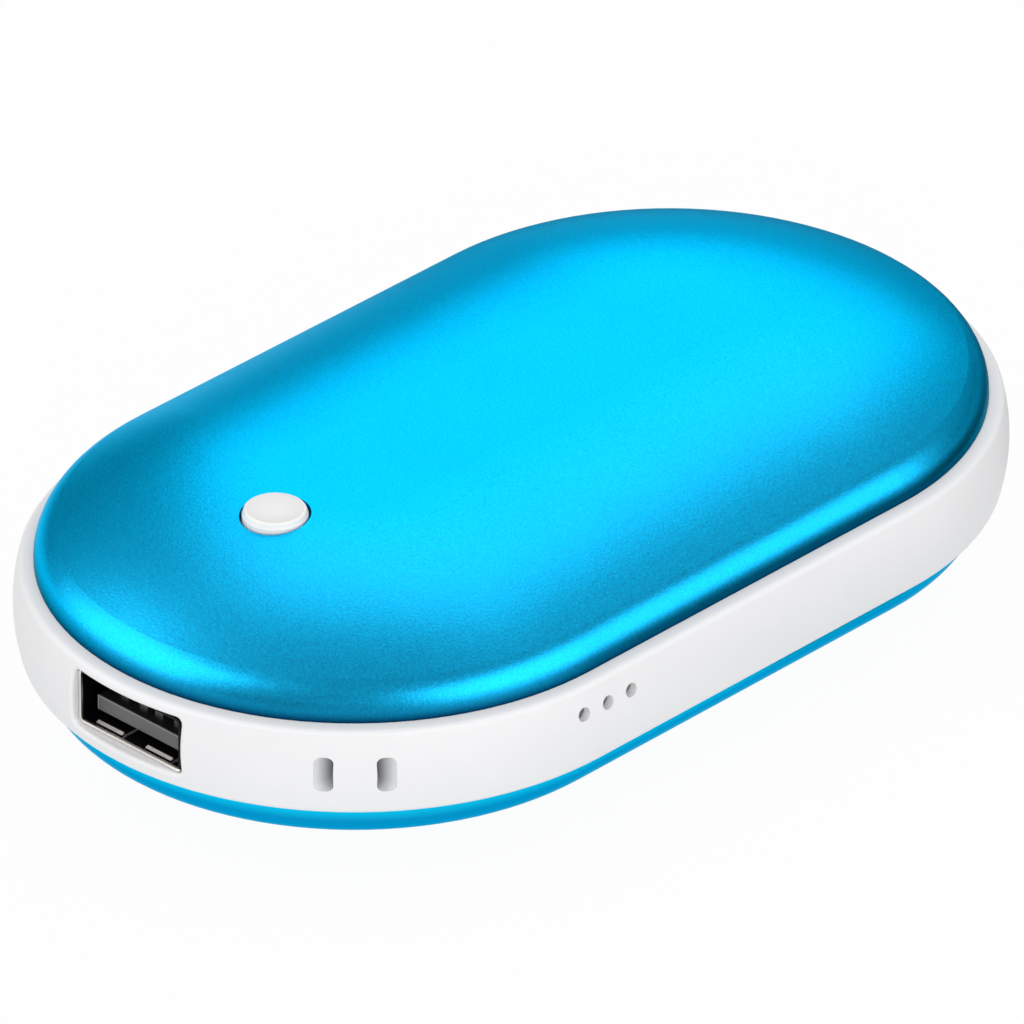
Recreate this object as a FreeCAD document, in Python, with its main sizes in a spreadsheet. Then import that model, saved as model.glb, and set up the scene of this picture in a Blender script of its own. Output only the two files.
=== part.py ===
import FreeCAD, Part
import math
import os

import Sketcher

# A rechargeable hand warmer: two pressed shells on a moulded frame, with cells, heater films and a
# circuit board inside. Millimetres, +Z up, X along the length with the USB outlet at -X. The origin is
# on the table, under the middle of the lower shell.

doc = FreeCAD.newDocument("HandWarmer")
sheet = doc.addObject("Spreadsheet::Sheet", "Sizes")

DRIVING_SIZES = [
    # Outline and shells; the straight run between the rounded ends follows from the cells
    ("seam_width", 60.0, "width over the shells at the seam"),
    ("shell_rise", 9.1, "height of each shell from its seam"),
    ("shell_flat_width", 14.0, "width of the flat land on each shell"),
    ("shell_edge_radius", 3.9, "roll of the shell's edge"),
    ("shell_rim", 0.2, "upright rim below the roll"),
    ("shell_wall", 0.8, "sheet thickness"),
    # Frame
    ("frame_height", 9.1, "frame between the two seams"),
    ("ledge_width", 1.28, "how far the frame stands out past the shells at a seam"),
    ("ledge_slope", 10.0, "fall of the ledge, degrees"),
    ("wall_bulge", 0.7, "swell of the frame's wall at half height"),
    ("frame_edge_radius", 0.8, "round of the frame's outer edges"),
    ("opening_round", 0.35, "softened edge of the outlet opening"),
    ("lip_gap", 0.1, "bond line between lip and shell"),
    ("lip_foot", 0.4, "upright foot of the lip"),
    ("lip_height", 1.8, "how far the lip reaches into the shell"),
    ("lip_taper", 0.9, "lean of the lip away from the rolled edge"),
    ("lip_wall", 1.4, "thickness of the lip at its foot"),
    # USB-A outlet
    ("outlet_offset", -0.91, "outlet centre across the end"),
    ("outlet_drop", 4.25, "outlet centre below the upper seam"),
    ("outlet_recess", 1.38, "socket mouth behind the end of the frame"),
    ("outlet_margin", 0.12, "frame opening round the socket"),
    ("outlet_opening_corner", 0.72, "corner radius of the opening"),
    ("outlet_inner_width", 12.7, "socket shell, inside"),
    ("outlet_inner_height", 5.12, "socket shell, inside"),
    ("outlet_sheet", 0.3, "socket shell sheet"),
    ("outlet_length", 14.0, "socket shell, mouth to back"),
    ("tongue_width", 11.1, "contact tongue"),
    ("tongue_thickness", 1.5, "contact tongue"),
    ("tongue_length", 8.5, "contact tongue, front to root"),
    ("tongue_drop", 0.92, "tongue centre below the socket centre"),
    ("tongue_setback", 1.38, "tongue front behind the socket mouth"),
    ("contact_setback", 1.45, "contacts behind the front of the tongue"),
    ("finger_spread", 6.4, "between the two spring fingers of a wall"),
    ("finger_width", 3.3, "spring finger"),
    ("finger_length", 6.4, "spring finger"),
    ("finger_rise", 0.3, "how far a finger bends inwards"),
    # Lanyard bar
    ("lanyard_angle", 44.4, "lanyard bar round the end, degrees from the end point"),
    ("lanyard_spacing", 6.15, "between the two slots"),
    ("lanyard_lift", 2.0, "centre of the tunnel's curve, outside the wall"),
    ("lanyard_slot_width", 1.55, "slot"),
    ("lanyard_slot_height", 3.6, "slot"),
    ("lanyard_drop", 4.4, "slot centre below the upper seam"),
    # Indicator and charging inlet
    ("indicator_inset", 0.6, "middle indicator and inlet, from the rounded end's centre towards the cells"),
    ("indicator_pitch", 3.05, "between indicator holes"),
    ("indicator_drop", 2.8, "indicator holes below the upper seam"),
    ("indicator_diameter", 1.4, "indicator hole"),
    ("inlet_width", 7.5, "charging inlet shell, outside"),
    ("inlet_height", 2.6, "charging inlet shell, outside"),
    ("inlet_length", 5.5, "charging inlet shell"),
    ("inlet_sheet", 0.25, "charging inlet shell sheet"),
    ("inlet_margin", 0.4, "frame opening round the inlet"),
    ("inlet_recess", 0.9, "inlet mouth behind the frame's side"),
    # Button and switch
    ("button_reach", 10.6, "button past the rounded end's centre"),
    ("button_hole_diameter", 6.7, "hole in the upper shell"),
    ("button_diameter", 6.2, "cap at the shell"),
    ("button_top_diameter", 5.95, "cap at its top"),
    ("button_stand", 0.6, "cap above the shell"),
    ("button_edge", 0.3, "round of the cap's top edge"),
    ("button_dish", 0.22, "dish of the cap's top"),
    ("switch_width", 6.0, "tact switch, square"),
    ("switch_height", 3.4, "tact switch body"),
    ("plunger_diameter", 3.4, "tact switch plunger"),
    ("plunger_top", 5.0, "plunger above the board"),
    # Board
    ("board_thickness", 1.0, "circuit board"),
    ("board_gap", 1.3, "board edge to the frame's inside"),
    ("board_back", 5.65, "board's edge towards the cells, past the rounded end's centre"),
    ("screw_reach", 8.45, "board screws past the rounded end's centre"),
    ("screw_inset", 4.1, "board screws inside the board's long edge"),
    ("screw_diameter", 2.0, "screws"),
    # Cells and cradle
    ("cell_diameter", 18.4, "cell in its sleeve"),
    ("cell_length", 65.0, "cell"),
    ("cell_gap", 0.6, "between the two cells"),
    ("cell_reach", 3.15, "positive ends past the rounded end's centre"),
    ("cell_end_gap", 0.885, "negative ends to the inside of the frame"),
    ("cradle_inset", 2.3, "cradle behind the positive ends"),
    ("cradle_short", 5.0, "how much shorter the cradle is than the cells"),
    ("cradle_wall", 1.1, "trough thickness"),
    ("cradle_gap", 0.15, "between cell and trough"),
    ("cradle_deck", 1.4, "deck thickness"),
    ("cradle_drop", 7.0, "top of the deck below the upper seam"),
    # Heater
    ("film_reach", 17.0, "half width of the heater films"),
    ("film_thickness", 0.35, "heater film"),
    ("bond_gap", 0.1, "bond line behind films and foam"),
    ("foam_reach", 15.5, "half width of the foam pads"),
    ("foam_inset", 1.15, "foam pads behind one rounded end's centre"),
    ("foam_overrun", 6.85, "foam pads past the other rounded end's centre"),
    ("upper_foam_thickness", 2.6, "upper foam pad"),
    ("lower_foam_thickness", 1.2, "lower foam pad"),
    ("lead_place", 7.15, "leads' joints on the board, past the rounded end's centre"),
    ("lead_diameter", 1.1, "insulated leads"),
    ("lead_bend", 1.6, "bend radius of the leads"),
]


class Size:
    """A number and the sheet expression that gives it."""

    def __init__(self, value, text):
        self.value = value
        self.text = text

    def __add__(self, other):
        other = size_of(other)
        return Size(self.value + other.value, f"({self.text} + {other.text})")

    def __sub__(self, other):
        other = size_of(other)
        return Size(self.value - other.value, f"({self.text} - {other.text})")

    def __mul__(self, other):
        other = size_of(other)
        return Size(self.value * other.value, f"({self.text} * {other.text})")

    def __truediv__(self, other):
        other = size_of(other)
        return Size(self.value / other.value, f"({self.text} / {other.text})")

    def __rsub__(self, other):
        return size_of(other) - self

    def __neg__(self):
        return Size(-self.value, f"(0 - {self.text})")

    __radd__ = __add__
    __rmul__ = __mul__


def size_of(number):
    if isinstance(number, Size):
        return number
    return Size(float(number), f"({float(number)!r})")


def root(size):
    return Size(math.sqrt(size.value), f"sqrt({size.text})")


def cosine(degrees):
    return Size(math.cos(math.radians(degrees.value)), f"cos({degrees.text})")


def sine(degrees):
    return Size(math.sin(math.radians(degrees.value)), f"sin({degrees.text})")


class Sizes:
    """The driving sizes, read back from the sheet."""


for row, (alias, number, note) in enumerate(DRIVING_SIZES, start=1):
    sheet.set(f"A{row}", note)
    sheet.set(f"B{row}", str(number))
    sheet.setAlias(f"B{row}", alias)
doc.recompute()
for alias, number, note in DRIVING_SIZES:
    setattr(Sizes, alias, Size(float(getattr(sheet, alias)), f"Sizes.{alias}"))
worked_out = []


def derive(alias, size, note):
    """Keep a worked-out size in the sheet, below the driving ones."""
    worked_out.append(alias)
    row = len(DRIVING_SIZES) + len(worked_out)
    sheet.set(f"A{row}", note)
    sheet.set(f"B{row}", "=" + size.text.replace("Sizes.", ""))
    sheet.setAlias(f"B{row}", alias)
    doc.recompute()
    return Size(size.value, f"Sizes.{alias}")


# Levels, half sizes and places along the length that many pieces share
seam = Sizes.seam_width / 2
outer = seam + Sizes.ledge_width + Sizes.wall_bulge
lower_seam = Sizes.shell_rise
upper_seam = Sizes.shell_rise + Sizes.frame_height
middle = Sizes.shell_rise + Sizes.frame_height / 2
lip_outside = seam - Sizes.shell_wall - Sizes.lip_gap
inside = lip_outside - Sizes.lip_wall
cell_radius = Sizes.cell_diameter / 2
cell_side = (Sizes.cell_diameter + Sizes.cell_gap) / 2
cell_flank = cell_side + cell_radius
end_room = derive("end_room", root(inside * inside - cell_flank * cell_flank) - Sizes.cell_end_gap,
                  "how far the negative ends reach into the other rounded end")
straight_length = derive("straight_length", Sizes.cell_length - Sizes.cell_reach - end_room,
                         "straight run between the rounded ends")
half_straight = straight_length / 2
end_centre = -half_straight
cell_start = end_centre - Sizes.cell_reach
button_axis = end_centre - Sizes.button_reach
indicator_place = end_centre + Sizes.indicator_inset
screw_place = end_centre - Sizes.screw_reach
outlet_level = upper_seam - Sizes.outlet_drop
outlet_mouth = end_centre - outer + Sizes.outlet_recess
outlet_half_height = Sizes.outlet_inner_height / 2 + Sizes.outlet_sheet
board_under = outlet_level + outlet_half_height
board_top = board_under + Sizes.board_thickness
board_reach = inside - Sizes.board_gap
indicator_level = upper_seam - Sizes.indicator_drop

AXES = {
    "x": FreeCAD.Rotation(FreeCAD.Vector(0, 1, 0), 90),
    "y": FreeCAD.Rotation(FreeCAD.Vector(1, 0, 0), -90),
    "z": FreeCAD.Rotation(),
}

parts = []


def keep(piece, label):
    """Mark an object as a finished sub-part."""
    piece.Label = label
    parts.append(piece)
    return piece


def bind(target, **sizes):
    for name, size in sizes.items():
        target.setExpression(name, size_of(size).text)


def place(target, x, y, z):
    for axis, where in zip("xyz", (x, y, z)):
        target.setExpression(f"Placement.Base.{axis}", size_of(where).text)


def block(name, x, y, z, length, width, height):
    """A box whose low corner is at x, y, z."""
    made = doc.addObject("Part::Box", name)
    bind(made, Length=length, Width=width, Height=height)
    place(made, x, y, z)
    return made


def centred_block(name, x, y, z, length, width, height):
    """A box that stands on z, centred on x and y."""
    return block(name, x - size_of(length) / 2, y - size_of(width) / 2, z, length, width, height)


def rod(name, x, y, z, radius, length, axis="z"):
    made = doc.addObject("Part::Cylinder", name)
    made.Placement = FreeCAD.Placement(FreeCAD.Vector(), AXES[axis])
    bind(made, Radius=radius, Height=length)
    place(made, x, y, z)
    return made


def join(name, pieces):
    made = doc.addObject("Part::MultiFuse", name)
    made.Shapes = pieces
    return made


def group(name, pieces):
    made = doc.addObject("Part::Compound", name)
    made.Links = pieces
    return made


def cut(name, base, tools):
    made = doc.addObject("Part::Cut", name)
    made.Base = base
    made.Tool = tools[0] if len(tools) == 1 else join(f"{name}_cutters", tools)
    return made


def new_body(name):
    return doc.addObject("PartDesign::Body", name)


def plane(body, role):
    return next(feature for feature in body.Origin.OriginFeatures if feature.Role == role)


def sketch_on(body, name, role, x=0, y=0, level=0):
    """A sketch on one of the body's own planes, moved in the plane by x, y and along its normal."""
    sketch = body.newObject("Sketcher::SketchObject", name)
    sketch.AttachmentSupport = [(plane(body, role), "")]
    sketch.MapMode = "FlatFace"
    for axis, where in zip("xyz", (x, y, level)):
        sketch.setExpression(f"AttachmentOffset.Base.{axis}", size_of(where).text)
    return sketch


def pin_point(sketch, geometry, point, x, y):
    """Fix a point at x, y from the sketch's origin."""
    for kind, size in (("DistanceX", size_of(x)), ("DistanceY", size_of(y))):
        number = sketch.addConstraint(Sketcher.Constraint(kind, -1, 1, geometry, point, size.value))
        sketch.setExpression(f"Constraints[{number}]", size.text)


def fix_radius(sketch, geometry, radius):
    number = sketch.addConstraint(Sketcher.Constraint("Radius", geometry, radius.value))
    sketch.setExpression(f"Constraints[{number}]", radius.text)


def arc_between(start, end, radius, turn):
    """The shorter arc from start to end; turn is 1 for counter-clockwise and -1 for clockwise."""
    chord = end - start
    rise = math.sqrt(max(radius ** 2 - (chord.Length / 2) ** 2, 0.0))
    side = FreeCAD.Vector(-chord.y, chord.x, 0).normalize()
    centre = (start + end) / 2 + side * rise * turn
    first, last = (start, end) if turn > 0 else (end, start)
    angles = [math.atan2(p.y - centre.y, p.x - centre.x) for p in (first, last)]
    circle = Part.Circle(centre, FreeCAD.Vector(0, 0, 1), radius)
    return Part.ArcOfCircle(circle, *angles)


def draw(sketch, corners, closed=True):
    """Lines and arcs through corners of (x, y) or, where an arc starts, (x, y, radius, turn)."""
    points = [FreeCAD.Vector(size_of(c[0]).value, size_of(c[1]).value, 0) for c in corners]
    count = len(corners) if closed else len(corners) - 1
    ends = []
    for index in range(count):
        start, end = points[index], points[(index + 1) % len(points)]
        corner = corners[index]
        if len(corner) == 2:
            number = sketch.addGeometry(Part.LineSegment(start, end), False)
            ends.append((number, 1, 2))
        else:
            turn = corner[3]
            number = sketch.addGeometry(arc_between(start, end, corner[2].value, turn), False)
            ends.append((number, 1, 2) if turn > 0 else (number, 2, 1))
    for index in range(count if closed else count - 1):
        here, after = ends[index], ends[(index + 1) % count]
        sketch.addConstraint(Sketcher.Constraint("Coincident", here[0], here[2], after[0], after[1]))
    for index, (number, first, last) in enumerate(ends):
        pin_point(sketch, number, first, *corners[index][:2])
        if len(corners[index]) > 2:
            fix_radius(sketch, number, corners[index][2])
    if not closed:
        pin_point(sketch, ends[-1][0], ends[-1][2], *corners[-1][:2])
    return sketch


def draw_circle(sketch, x, y, radius):
    centre = FreeCAD.Vector(size_of(x).value, size_of(y).value, 0)
    circle = Part.Circle(centre, FreeCAD.Vector(0, 0, 1), radius.value)
    number = sketch.addGeometry(circle, False)
    pin_point(sketch, number, 3, x, y)
    fix_radius(sketch, number, radius)
    return sketch


def rectangle(x, y, width, height):
    """Corners of a rectangle centred on x, y."""
    wide, tall = size_of(width) / 2, size_of(height) / 2
    return [(x - wide, y - tall), (x + wide, y - tall), (x + wide, y + tall), (x - wide, y + tall)]


def rounded_rectangle(x, y, width, height, radius):
    wide, tall = size_of(width) / 2, size_of(height) / 2
    near_x, near_y = wide - radius, tall - radius
    return [
        (x - near_x, y - tall), (x + near_x, y - tall, radius, 1),
        (x + wide, y - near_y), (x + wide, y + near_y, radius, 1),
        (x + near_x, y + tall), (x - near_x, y + tall, radius, 1),
        (x - wide, y + near_y), (x - wide, y - near_y, radius, 1),
    ]


def pad(body, name, sketch, length, reverse=False, both=False):
    made = body.newObject("PartDesign::Pad", name)
    made.Profile = sketch
    bind(made, Length=length)
    made.Reversed = reverse
    made.Midplane = both
    doc.recompute()
    return made


def pocket(body, name, sketch, depth, reverse=False, both=False):
    """A cut against the sketch's normal, or along it when reversed, which must take material away."""
    before = body.Shape.Volume
    made = body.newObject("PartDesign::Pocket", name)
    made.Profile = sketch
    bind(made, Length=depth)
    made.Reversed = reverse
    made.Midplane = both
    doc.recompute()
    if not made.Shape.Volume < before - 1e-6:
        raise RuntimeError(f"{body.Name} {name} cuts nothing")
    return made


def revolve(body, name, sketch, axis, angle=360, reverse=False, kind="Revolution"):
    made = body.newObject(f"PartDesign::{kind}", name)
    made.Profile = sketch
    made.ReferenceAxis = (sketch, [axis])
    made.Angle = angle
    made.Reversed = reverse
    doc.recompute()
    return made


def mirror(body, name, originals, role):
    made = body.newObject("PartDesign::Mirrored", name)
    made.Originals = originals
    made.MirrorPlane = (plane(body, role), [""])
    body.Tip = made
    doc.recompute()
    return made


def rounded_end_sweep(body, sketch):
    """Carry a half section on the YZ plane round the rounded-end outline."""
    straight = pad(body, f"{body.Name}_straight", sketch, straight_length, reverse=True)
    end = revolve(body, f"{body.Name}_end", sketch, "V_Axis", angle=180, reverse=True)
    mirror(body, f"{body.Name}_other_side", [straight], "XZ_Plane")
    mirror(body, f"{body.Name}_other_end", [end], "YZ_Plane")


# Crown of the shells: flat land, then a large arc that runs into the rolled edge
crown_reach = seam - Sizes.shell_edge_radius - Sizes.shell_flat_width / 2
crown_fall = Sizes.shell_rise - Sizes.shell_rim
crown_radius = ((crown_reach * crown_reach + crown_fall * crown_fall
                 - Sizes.shell_edge_radius * Sizes.shell_edge_radius)
                / ((crown_fall - Sizes.shell_edge_radius) * 2))
land = Sizes.shell_flat_width / 2
crown_base = Sizes.shell_rise - crown_radius


def crown_meets_roll(depth):
    """Where the crown and the rolled edge meet, at a depth inside the outer face."""
    part_way = (crown_radius - depth) / (crown_radius - Sizes.shell_edge_radius)
    return land + crown_reach * part_way, crown_base + (crown_radius - crown_fall) * part_way


def crown_level(reach, depth):
    """Height of the crown above the seam at a reach from the middle line."""
    radius = crown_radius - depth
    return crown_base + root(radius * radius - (reach - land) * (reach - land))


def shell(name):
    """A pressed sheet shell, drawn with its seam on the XY plane."""
    body = new_body(name)
    sheet_wall = Sizes.shell_wall
    roll = Sizes.shell_edge_radius
    section = sketch_on(body, f"{name}_section", "YZ_Plane", level=half_straight)
    draw(section, [
        (0, Sizes.shell_rise),
        (land, Sizes.shell_rise, crown_radius, -1),
        (*crown_meets_roll(size_of(0)), roll, -1),
        (seam, Sizes.shell_rim),
        (seam, 0),
        (seam - sheet_wall, 0),
        (seam - sheet_wall, Sizes.shell_rim, roll - sheet_wall, 1),
        (*crown_meets_roll(sheet_wall), crown_radius - sheet_wall, 1),
        (land, Sizes.shell_rise - sheet_wall),
        (0, Sizes.shell_rise - sheet_wall),
    ])
    rounded_end_sweep(body, section)
    return body


def crown_layer(name, depth, thickness, reach):
    """A sheet that follows the inside of a shell, drawn in the shell's own frame."""
    body = new_body(name)
    below = depth + thickness
    section = sketch_on(body, f"{name}_section", "YZ_Plane", level=half_straight)
    draw(section, [
        (0, Sizes.shell_rise - depth),
        (land, Sizes.shell_rise - depth, crown_radius - depth, -1),
        (reach, crown_level(reach, depth)),
        (reach, crown_level(reach, below), crown_radius - below, 1),
        (land, Sizes.shell_rise - below),
        (0, Sizes.shell_rise - below),
    ])
    rounded_end_sweep(body, section)
    return body


def put_in_upper_shell(body):
    place(body, 0, 0, upper_seam)


def put_in_lower_shell(body):
    """Turn the piece over about X, on to the lower seam."""
    body.Placement = FreeCAD.Placement(FreeCAD.Vector(), FreeCAD.Rotation(FreeCAD.Vector(1, 0, 0), 180))
    place(body, 0, 0, lower_seam)


def button_opening(body, radius):
    opening = sketch_on(body, f"{body.Name}_button_opening", "XY_Plane")
    draw_circle(opening, button_axis, 0, radius)
    pocket(body, f"{body.Name}_button_hole", opening, Sizes.shell_rise * 2, reverse=True)


# Upper shell: the pressed shell with the button hole punched through it
upper_shell = keep(shell("upper_shell"), "upper_shell")
button_opening(upper_shell, Sizes.button_hole_diameter / 2)
put_in_upper_shell(upper_shell)

# Lower shell: the same pressing turned over, with no hole; its flat land is what it rests on
lower_shell = keep(shell("lower_shell"), "lower_shell")
put_in_lower_shell(lower_shell)


# Middle frame: a moulded ring with a swelled wall, sloped ledges and a lip that each shell slips over.
# The round of its outer edge touches the ledge at ledge_end and the wall at wall_end, from half height.
frame = keep(new_body("middle_frame"), "middle_frame")
edge_round = Sizes.frame_edge_radius
half_height = Sizes.frame_height / 2
wall_radius = derive("wall_radius", (half_height * half_height + Sizes.wall_bulge * Sizes.wall_bulge)
                     / (Sizes.wall_bulge * 2), "curve of the frame's wall from top to bottom")
wall_centre = outer - wall_radius
ledge_out = cosine(Sizes.ledge_slope)
ledge_down = sine(Sizes.ledge_slope)
round_out = seam - edge_round * ledge_down - wall_centre
round_up = half_height - edge_round * ledge_out
round_lean = derive("round_lean", round_out * ledge_out - round_up * ledge_down,
                    "helps to find where the edge's round begins")
round_reach = wall_radius - edge_round
ledge_run = derive("ledge_run", root(round_lean * round_lean + round_reach * round_reach
                                     - round_out * round_out - round_up * round_up) - round_lean,
                   "flat of the ledge from the seam to the edge's round")
ledge_end = (seam + ledge_run * ledge_out, half_height - ledge_run * ledge_down)
wall_end = (wall_centre + (round_out + ledge_run * ledge_out) * wall_radius / round_reach,
            (round_up - ledge_run * ledge_down) * wall_radius / round_reach)
frame_section = sketch_on(frame, "frame_section", "YZ_Plane", level=half_straight)
draw(frame_section, [
    (seam, lower_seam),
    (ledge_end[0], middle - ledge_end[1], edge_round, 1),
    (wall_end[0], middle - wall_end[1], wall_radius, 1),
    (wall_end[0], middle + wall_end[1], edge_round, 1),
    (ledge_end[0], middle + ledge_end[1]),
    (seam, upper_seam),
    (lip_outside, upper_seam),
    (lip_outside, upper_seam + Sizes.lip_foot),
    (lip_outside - Sizes.lip_taper, upper_seam + Sizes.lip_height),
    (inside, upper_seam + Sizes.lip_height),
    (inside, lower_seam - Sizes.lip_height),
    (lip_outside - Sizes.lip_taper, lower_seam - Sizes.lip_height),
    (lip_outside, lower_seam - Sizes.lip_foot),
    (lip_outside, lower_seam),
])
rounded_end_sweep(frame, frame_section)

# Posts inside the frame: two under the board's screws and four under the cradle's ears
POST_WIDTH = 7.0
POST_REACH = 7.6
BOARD_POST_HEIGHT = 6.4
CRADLE_POST_HEIGHT = 2.6
EAR_SHARES = (0.311, 0.926)
PILOT_SHARE = 0.8
PILOT_DEPTH = 5.0
EAR_INSET = 3.4
POST_BITE = 0.6
post_root = inside + POST_BITE
screw_side = board_reach - Sizes.screw_inset
cradle_ears = [end_centre + straight_length * share for share in EAR_SHARES]
ear_side = inside - EAR_INSET
deck_under = upper_seam - Sizes.cradle_drop - Sizes.cradle_deck


def frame_post(name, x, top, height):
    """A post on the -Y wall and its twin on the +Y wall."""
    outline = sketch_on(frame, f"{name}_outline", "XY_Plane", level=top)
    draw(outline, rectangle(x, POST_REACH / 2 - post_root, POST_WIDTH, POST_REACH))
    post = pad(frame, name, outline, height, reverse=True)
    mirror(frame, f"{name}_twin", [post], "XZ_Plane")


def frame_pilot(name, x, side, top, depth):
    outline = sketch_on(frame, f"{name}_outline", "XY_Plane", level=top)
    for sign in (-1, 1):
        draw_circle(outline, x, side * sign, Sizes.screw_diameter * PILOT_SHARE / 2)
    pocket(frame, name, outline, depth)


frame_post("board_post", screw_place, board_under, BOARD_POST_HEIGHT)
frame_pilot("board_pilot", screw_place, screw_side, board_under, PILOT_DEPTH)
for number, ear in enumerate(cradle_ears, start=1):
    frame_post(f"cradle_post_{number}", ear, deck_under, CRADLE_POST_HEIGHT)
    frame_pilot(f"cradle_pilot_{number}", ear, ear_side, deck_under, CRADLE_POST_HEIGHT)

# Lanyard bar: a curved tunnel that slants into the wall at one slot and out at the other
TUNNEL_CORNER_SHARE = 0.42
lanyard_out = cosine(Sizes.lanyard_angle)
lanyard_across = sine(Sizes.lanyard_angle)
lanyard_level = upper_seam - Sizes.lanyard_drop
tunnel_corner = Sizes.lanyard_slot_width * TUNNEL_CORNER_SHARE
tunnel_place = outer + Sizes.lanyard_lift
half_spacing = Sizes.lanyard_spacing / 2
tunnel_radius = root(half_spacing * half_spacing + Sizes.lanyard_lift * Sizes.lanyard_lift)
tunnel_outline = sketch_on(frame, "lanyard_tunnel_outline", "XZ_Plane",
                           x=end_centre - tunnel_place * lanyard_out, level=tunnel_place * lanyard_across)
draw(tunnel_outline, rounded_rectangle(tunnel_radius, lanyard_level, Sizes.lanyard_slot_width,
                                       Sizes.lanyard_slot_height, tunnel_corner))
before_tunnel = frame.Shape.Volume
revolve(frame, "lanyard_tunnel", tunnel_outline, "V_Axis", kind="Groove")
if not frame.Shape.Volume < before_tunnel - 1:
    raise RuntimeError("the lanyard tunnel cuts nothing")

# Openings in the frame: USB-A outlet in the end, charging inlet and indicator holes in the long sides
CUT_PAST = 2.0
REACH_IN_WALLS = 3.0
opening_reach = (outer - inside) * REACH_IN_WALLS
socket_width = Sizes.outlet_inner_width + Sizes.outlet_sheet * 2
outlet_opening = sketch_on(frame, "outlet_opening_outline", "YZ_Plane", level=end_centre - outer)
draw(outlet_opening, rounded_rectangle(Sizes.outlet_offset, outlet_level,
                                       socket_width + Sizes.outlet_margin * 2,
                                       (outlet_half_height + Sizes.outlet_margin) * 2,
                                       Sizes.outlet_opening_corner))
pocket(frame, "outlet_opening", outlet_opening, opening_reach, reverse=True)


NEAR_END = 0.9


def on_swelled_wall(point):
    """Whether a point is on the outside of the frame, near the end point of the outlet's end."""
    across = math.hypot(point.x - end_centre.value, point.y)
    wall = wall_centre.value + math.sqrt(wall_radius.value ** 2 - (point.z - middle.value) ** 2)
    return abs(across - wall) < 0.001 and end_centre.value - point.x > across * NEAR_END


# Soften the short edges that the outlet leaves in the wall; the slots stay crisp
wall_with_openings = frame.Tip
soft_edges = [f"Edge{number}" for number, edge in enumerate(wall_with_openings.Shape.Edges, start=1)
              if edge.Length < seam.value and all(on_swelled_wall(point) for point in edge.discretize(3))]
softening = frame.newObject("PartDesign::Fillet", "soft_openings")
softening.Base = (wall_with_openings, soft_edges)
bind(softening, Radius=Sizes.opening_round)
doc.recompute()

INLET_CORNER = 0.9
inlet_level = board_under - Sizes.inlet_height / 2
inlet_opening = sketch_on(frame, "inlet_opening_outline", "XZ_Plane", level=opening_reach - outer)
draw(inlet_opening, rounded_rectangle(indicator_place, inlet_level,
                                      Sizes.inlet_width + Sizes.inlet_margin * 2,
                                      Sizes.inlet_height + Sizes.inlet_margin * 2, size_of(INLET_CORNER)))
pocket(frame, "inlet_opening", inlet_opening, opening_reach + CUT_PAST)

NOTCH_WIDTH = 11.0
NOTCH_REACH = 1.2
inlet_notch = sketch_on(frame, "inlet_notch_outline", "XY_Plane", level=inlet_level)
draw(inlet_notch, rectangle(indicator_place, inside, NOTCH_WIDTH, NOTCH_REACH * 2))
pocket(frame, "inlet_notch", inlet_notch, opening_reach, reverse=True)

indicator_holes = sketch_on(frame, "indicator_holes_outline", "XZ_Plane", level=outer - opening_reach)
for step in (-1, 0, 1):
    draw_circle(indicator_holes, indicator_place + Sizes.indicator_pitch * step, indicator_level,
                Sizes.indicator_diameter / 2)
pocket(frame, "indicator_holes", indicator_holes, opening_reach + CUT_PAST, reverse=True)

# Light guide: a clear bar against the inside of the wall with a pin in each indicator hole
GUIDE_LENGTH = 8.6
GUIDE_DEPTH = 1.5
GUIDE_HEIGHT = 1.8
GUIDE_GAP = 0.35
PIN_GAP = 0.05
PIN_RECESS = 0.9
guide_bar = block("guide_bar", indicator_place - GUIDE_LENGTH / 2, GUIDE_GAP - inside,
                  indicator_level - GUIDE_HEIGHT / 2, GUIDE_LENGTH, GUIDE_DEPTH, GUIDE_HEIGHT)
guide_pins = [rod(f"guide_pin_{step + 2}", indicator_place + Sizes.indicator_pitch * step,
                  PIN_RECESS - outer, indicator_level, Sizes.indicator_diameter / 2 - PIN_GAP,
                  outer - inside - PIN_RECESS + GUIDE_DEPTH / 2, axis="y") for step in (-1, 0, 1)]
keep(join("light_guide", [guide_bar, *guide_pins]), "light_guide")

# Indicator LEDs: side-firing packages under the board's edge, facing the light guide
LED_WIDTH = 2.0
LED_DEPTH = 1.4
LED_GAP = 0.2
LED_REACH = 0.6
led_height = board_under - indicator_level + LED_REACH
leds = [block(f"led_{step + 2}", indicator_place + Sizes.indicator_pitch * step - LED_WIDTH / 2,
              GUIDE_GAP + GUIDE_DEPTH + LED_GAP - inside, board_under - led_height,
              LED_WIDTH, LED_DEPTH, led_height) for step in (-1, 0, 1)]
keep(group("indicator_leds", leds), "indicator_leds")

# Circuit board: a round-ended board with an ear on each side, the longer one under the inlet
BOARD_EAR_RUN = 6.15
BOARD_EAR_GAP = 1.6
INLET_EAR_WIDTH = 10.0
INLET_EAR_OVERHANG = 0.9
LEG_SLOT_LENGTH = 2.6
LEG_SLOT_WIDTH = 0.9
LEG_PLACE = 9.0
SCREW_CLEARANCE = 0.1
board_back = end_centre - Sizes.board_back
ear_end = end_centre + BOARD_EAR_RUN
ear_inside = cell_flank + BOARD_EAR_GAP
board = keep(new_body("circuit_board"), "circuit_board")
board_outline = sketch_on(board, "board_outline", "XY_Plane", level=board_under)
draw(board_outline, [
    (end_centre, board_reach, board_reach, 1),
    (end_centre - board_reach, 0, board_reach, 1),
    (end_centre, -board_reach),
    (ear_end, -board_reach),
    (ear_end, -ear_inside),
    (board_back, -ear_inside),
    (board_back, ear_inside),
    (ear_end, ear_inside),
    (ear_end, board_reach),
])
pad(board, "board_sheet", board_outline, Sizes.board_thickness)
ear_tip = inside + INLET_EAR_OVERHANG
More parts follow.
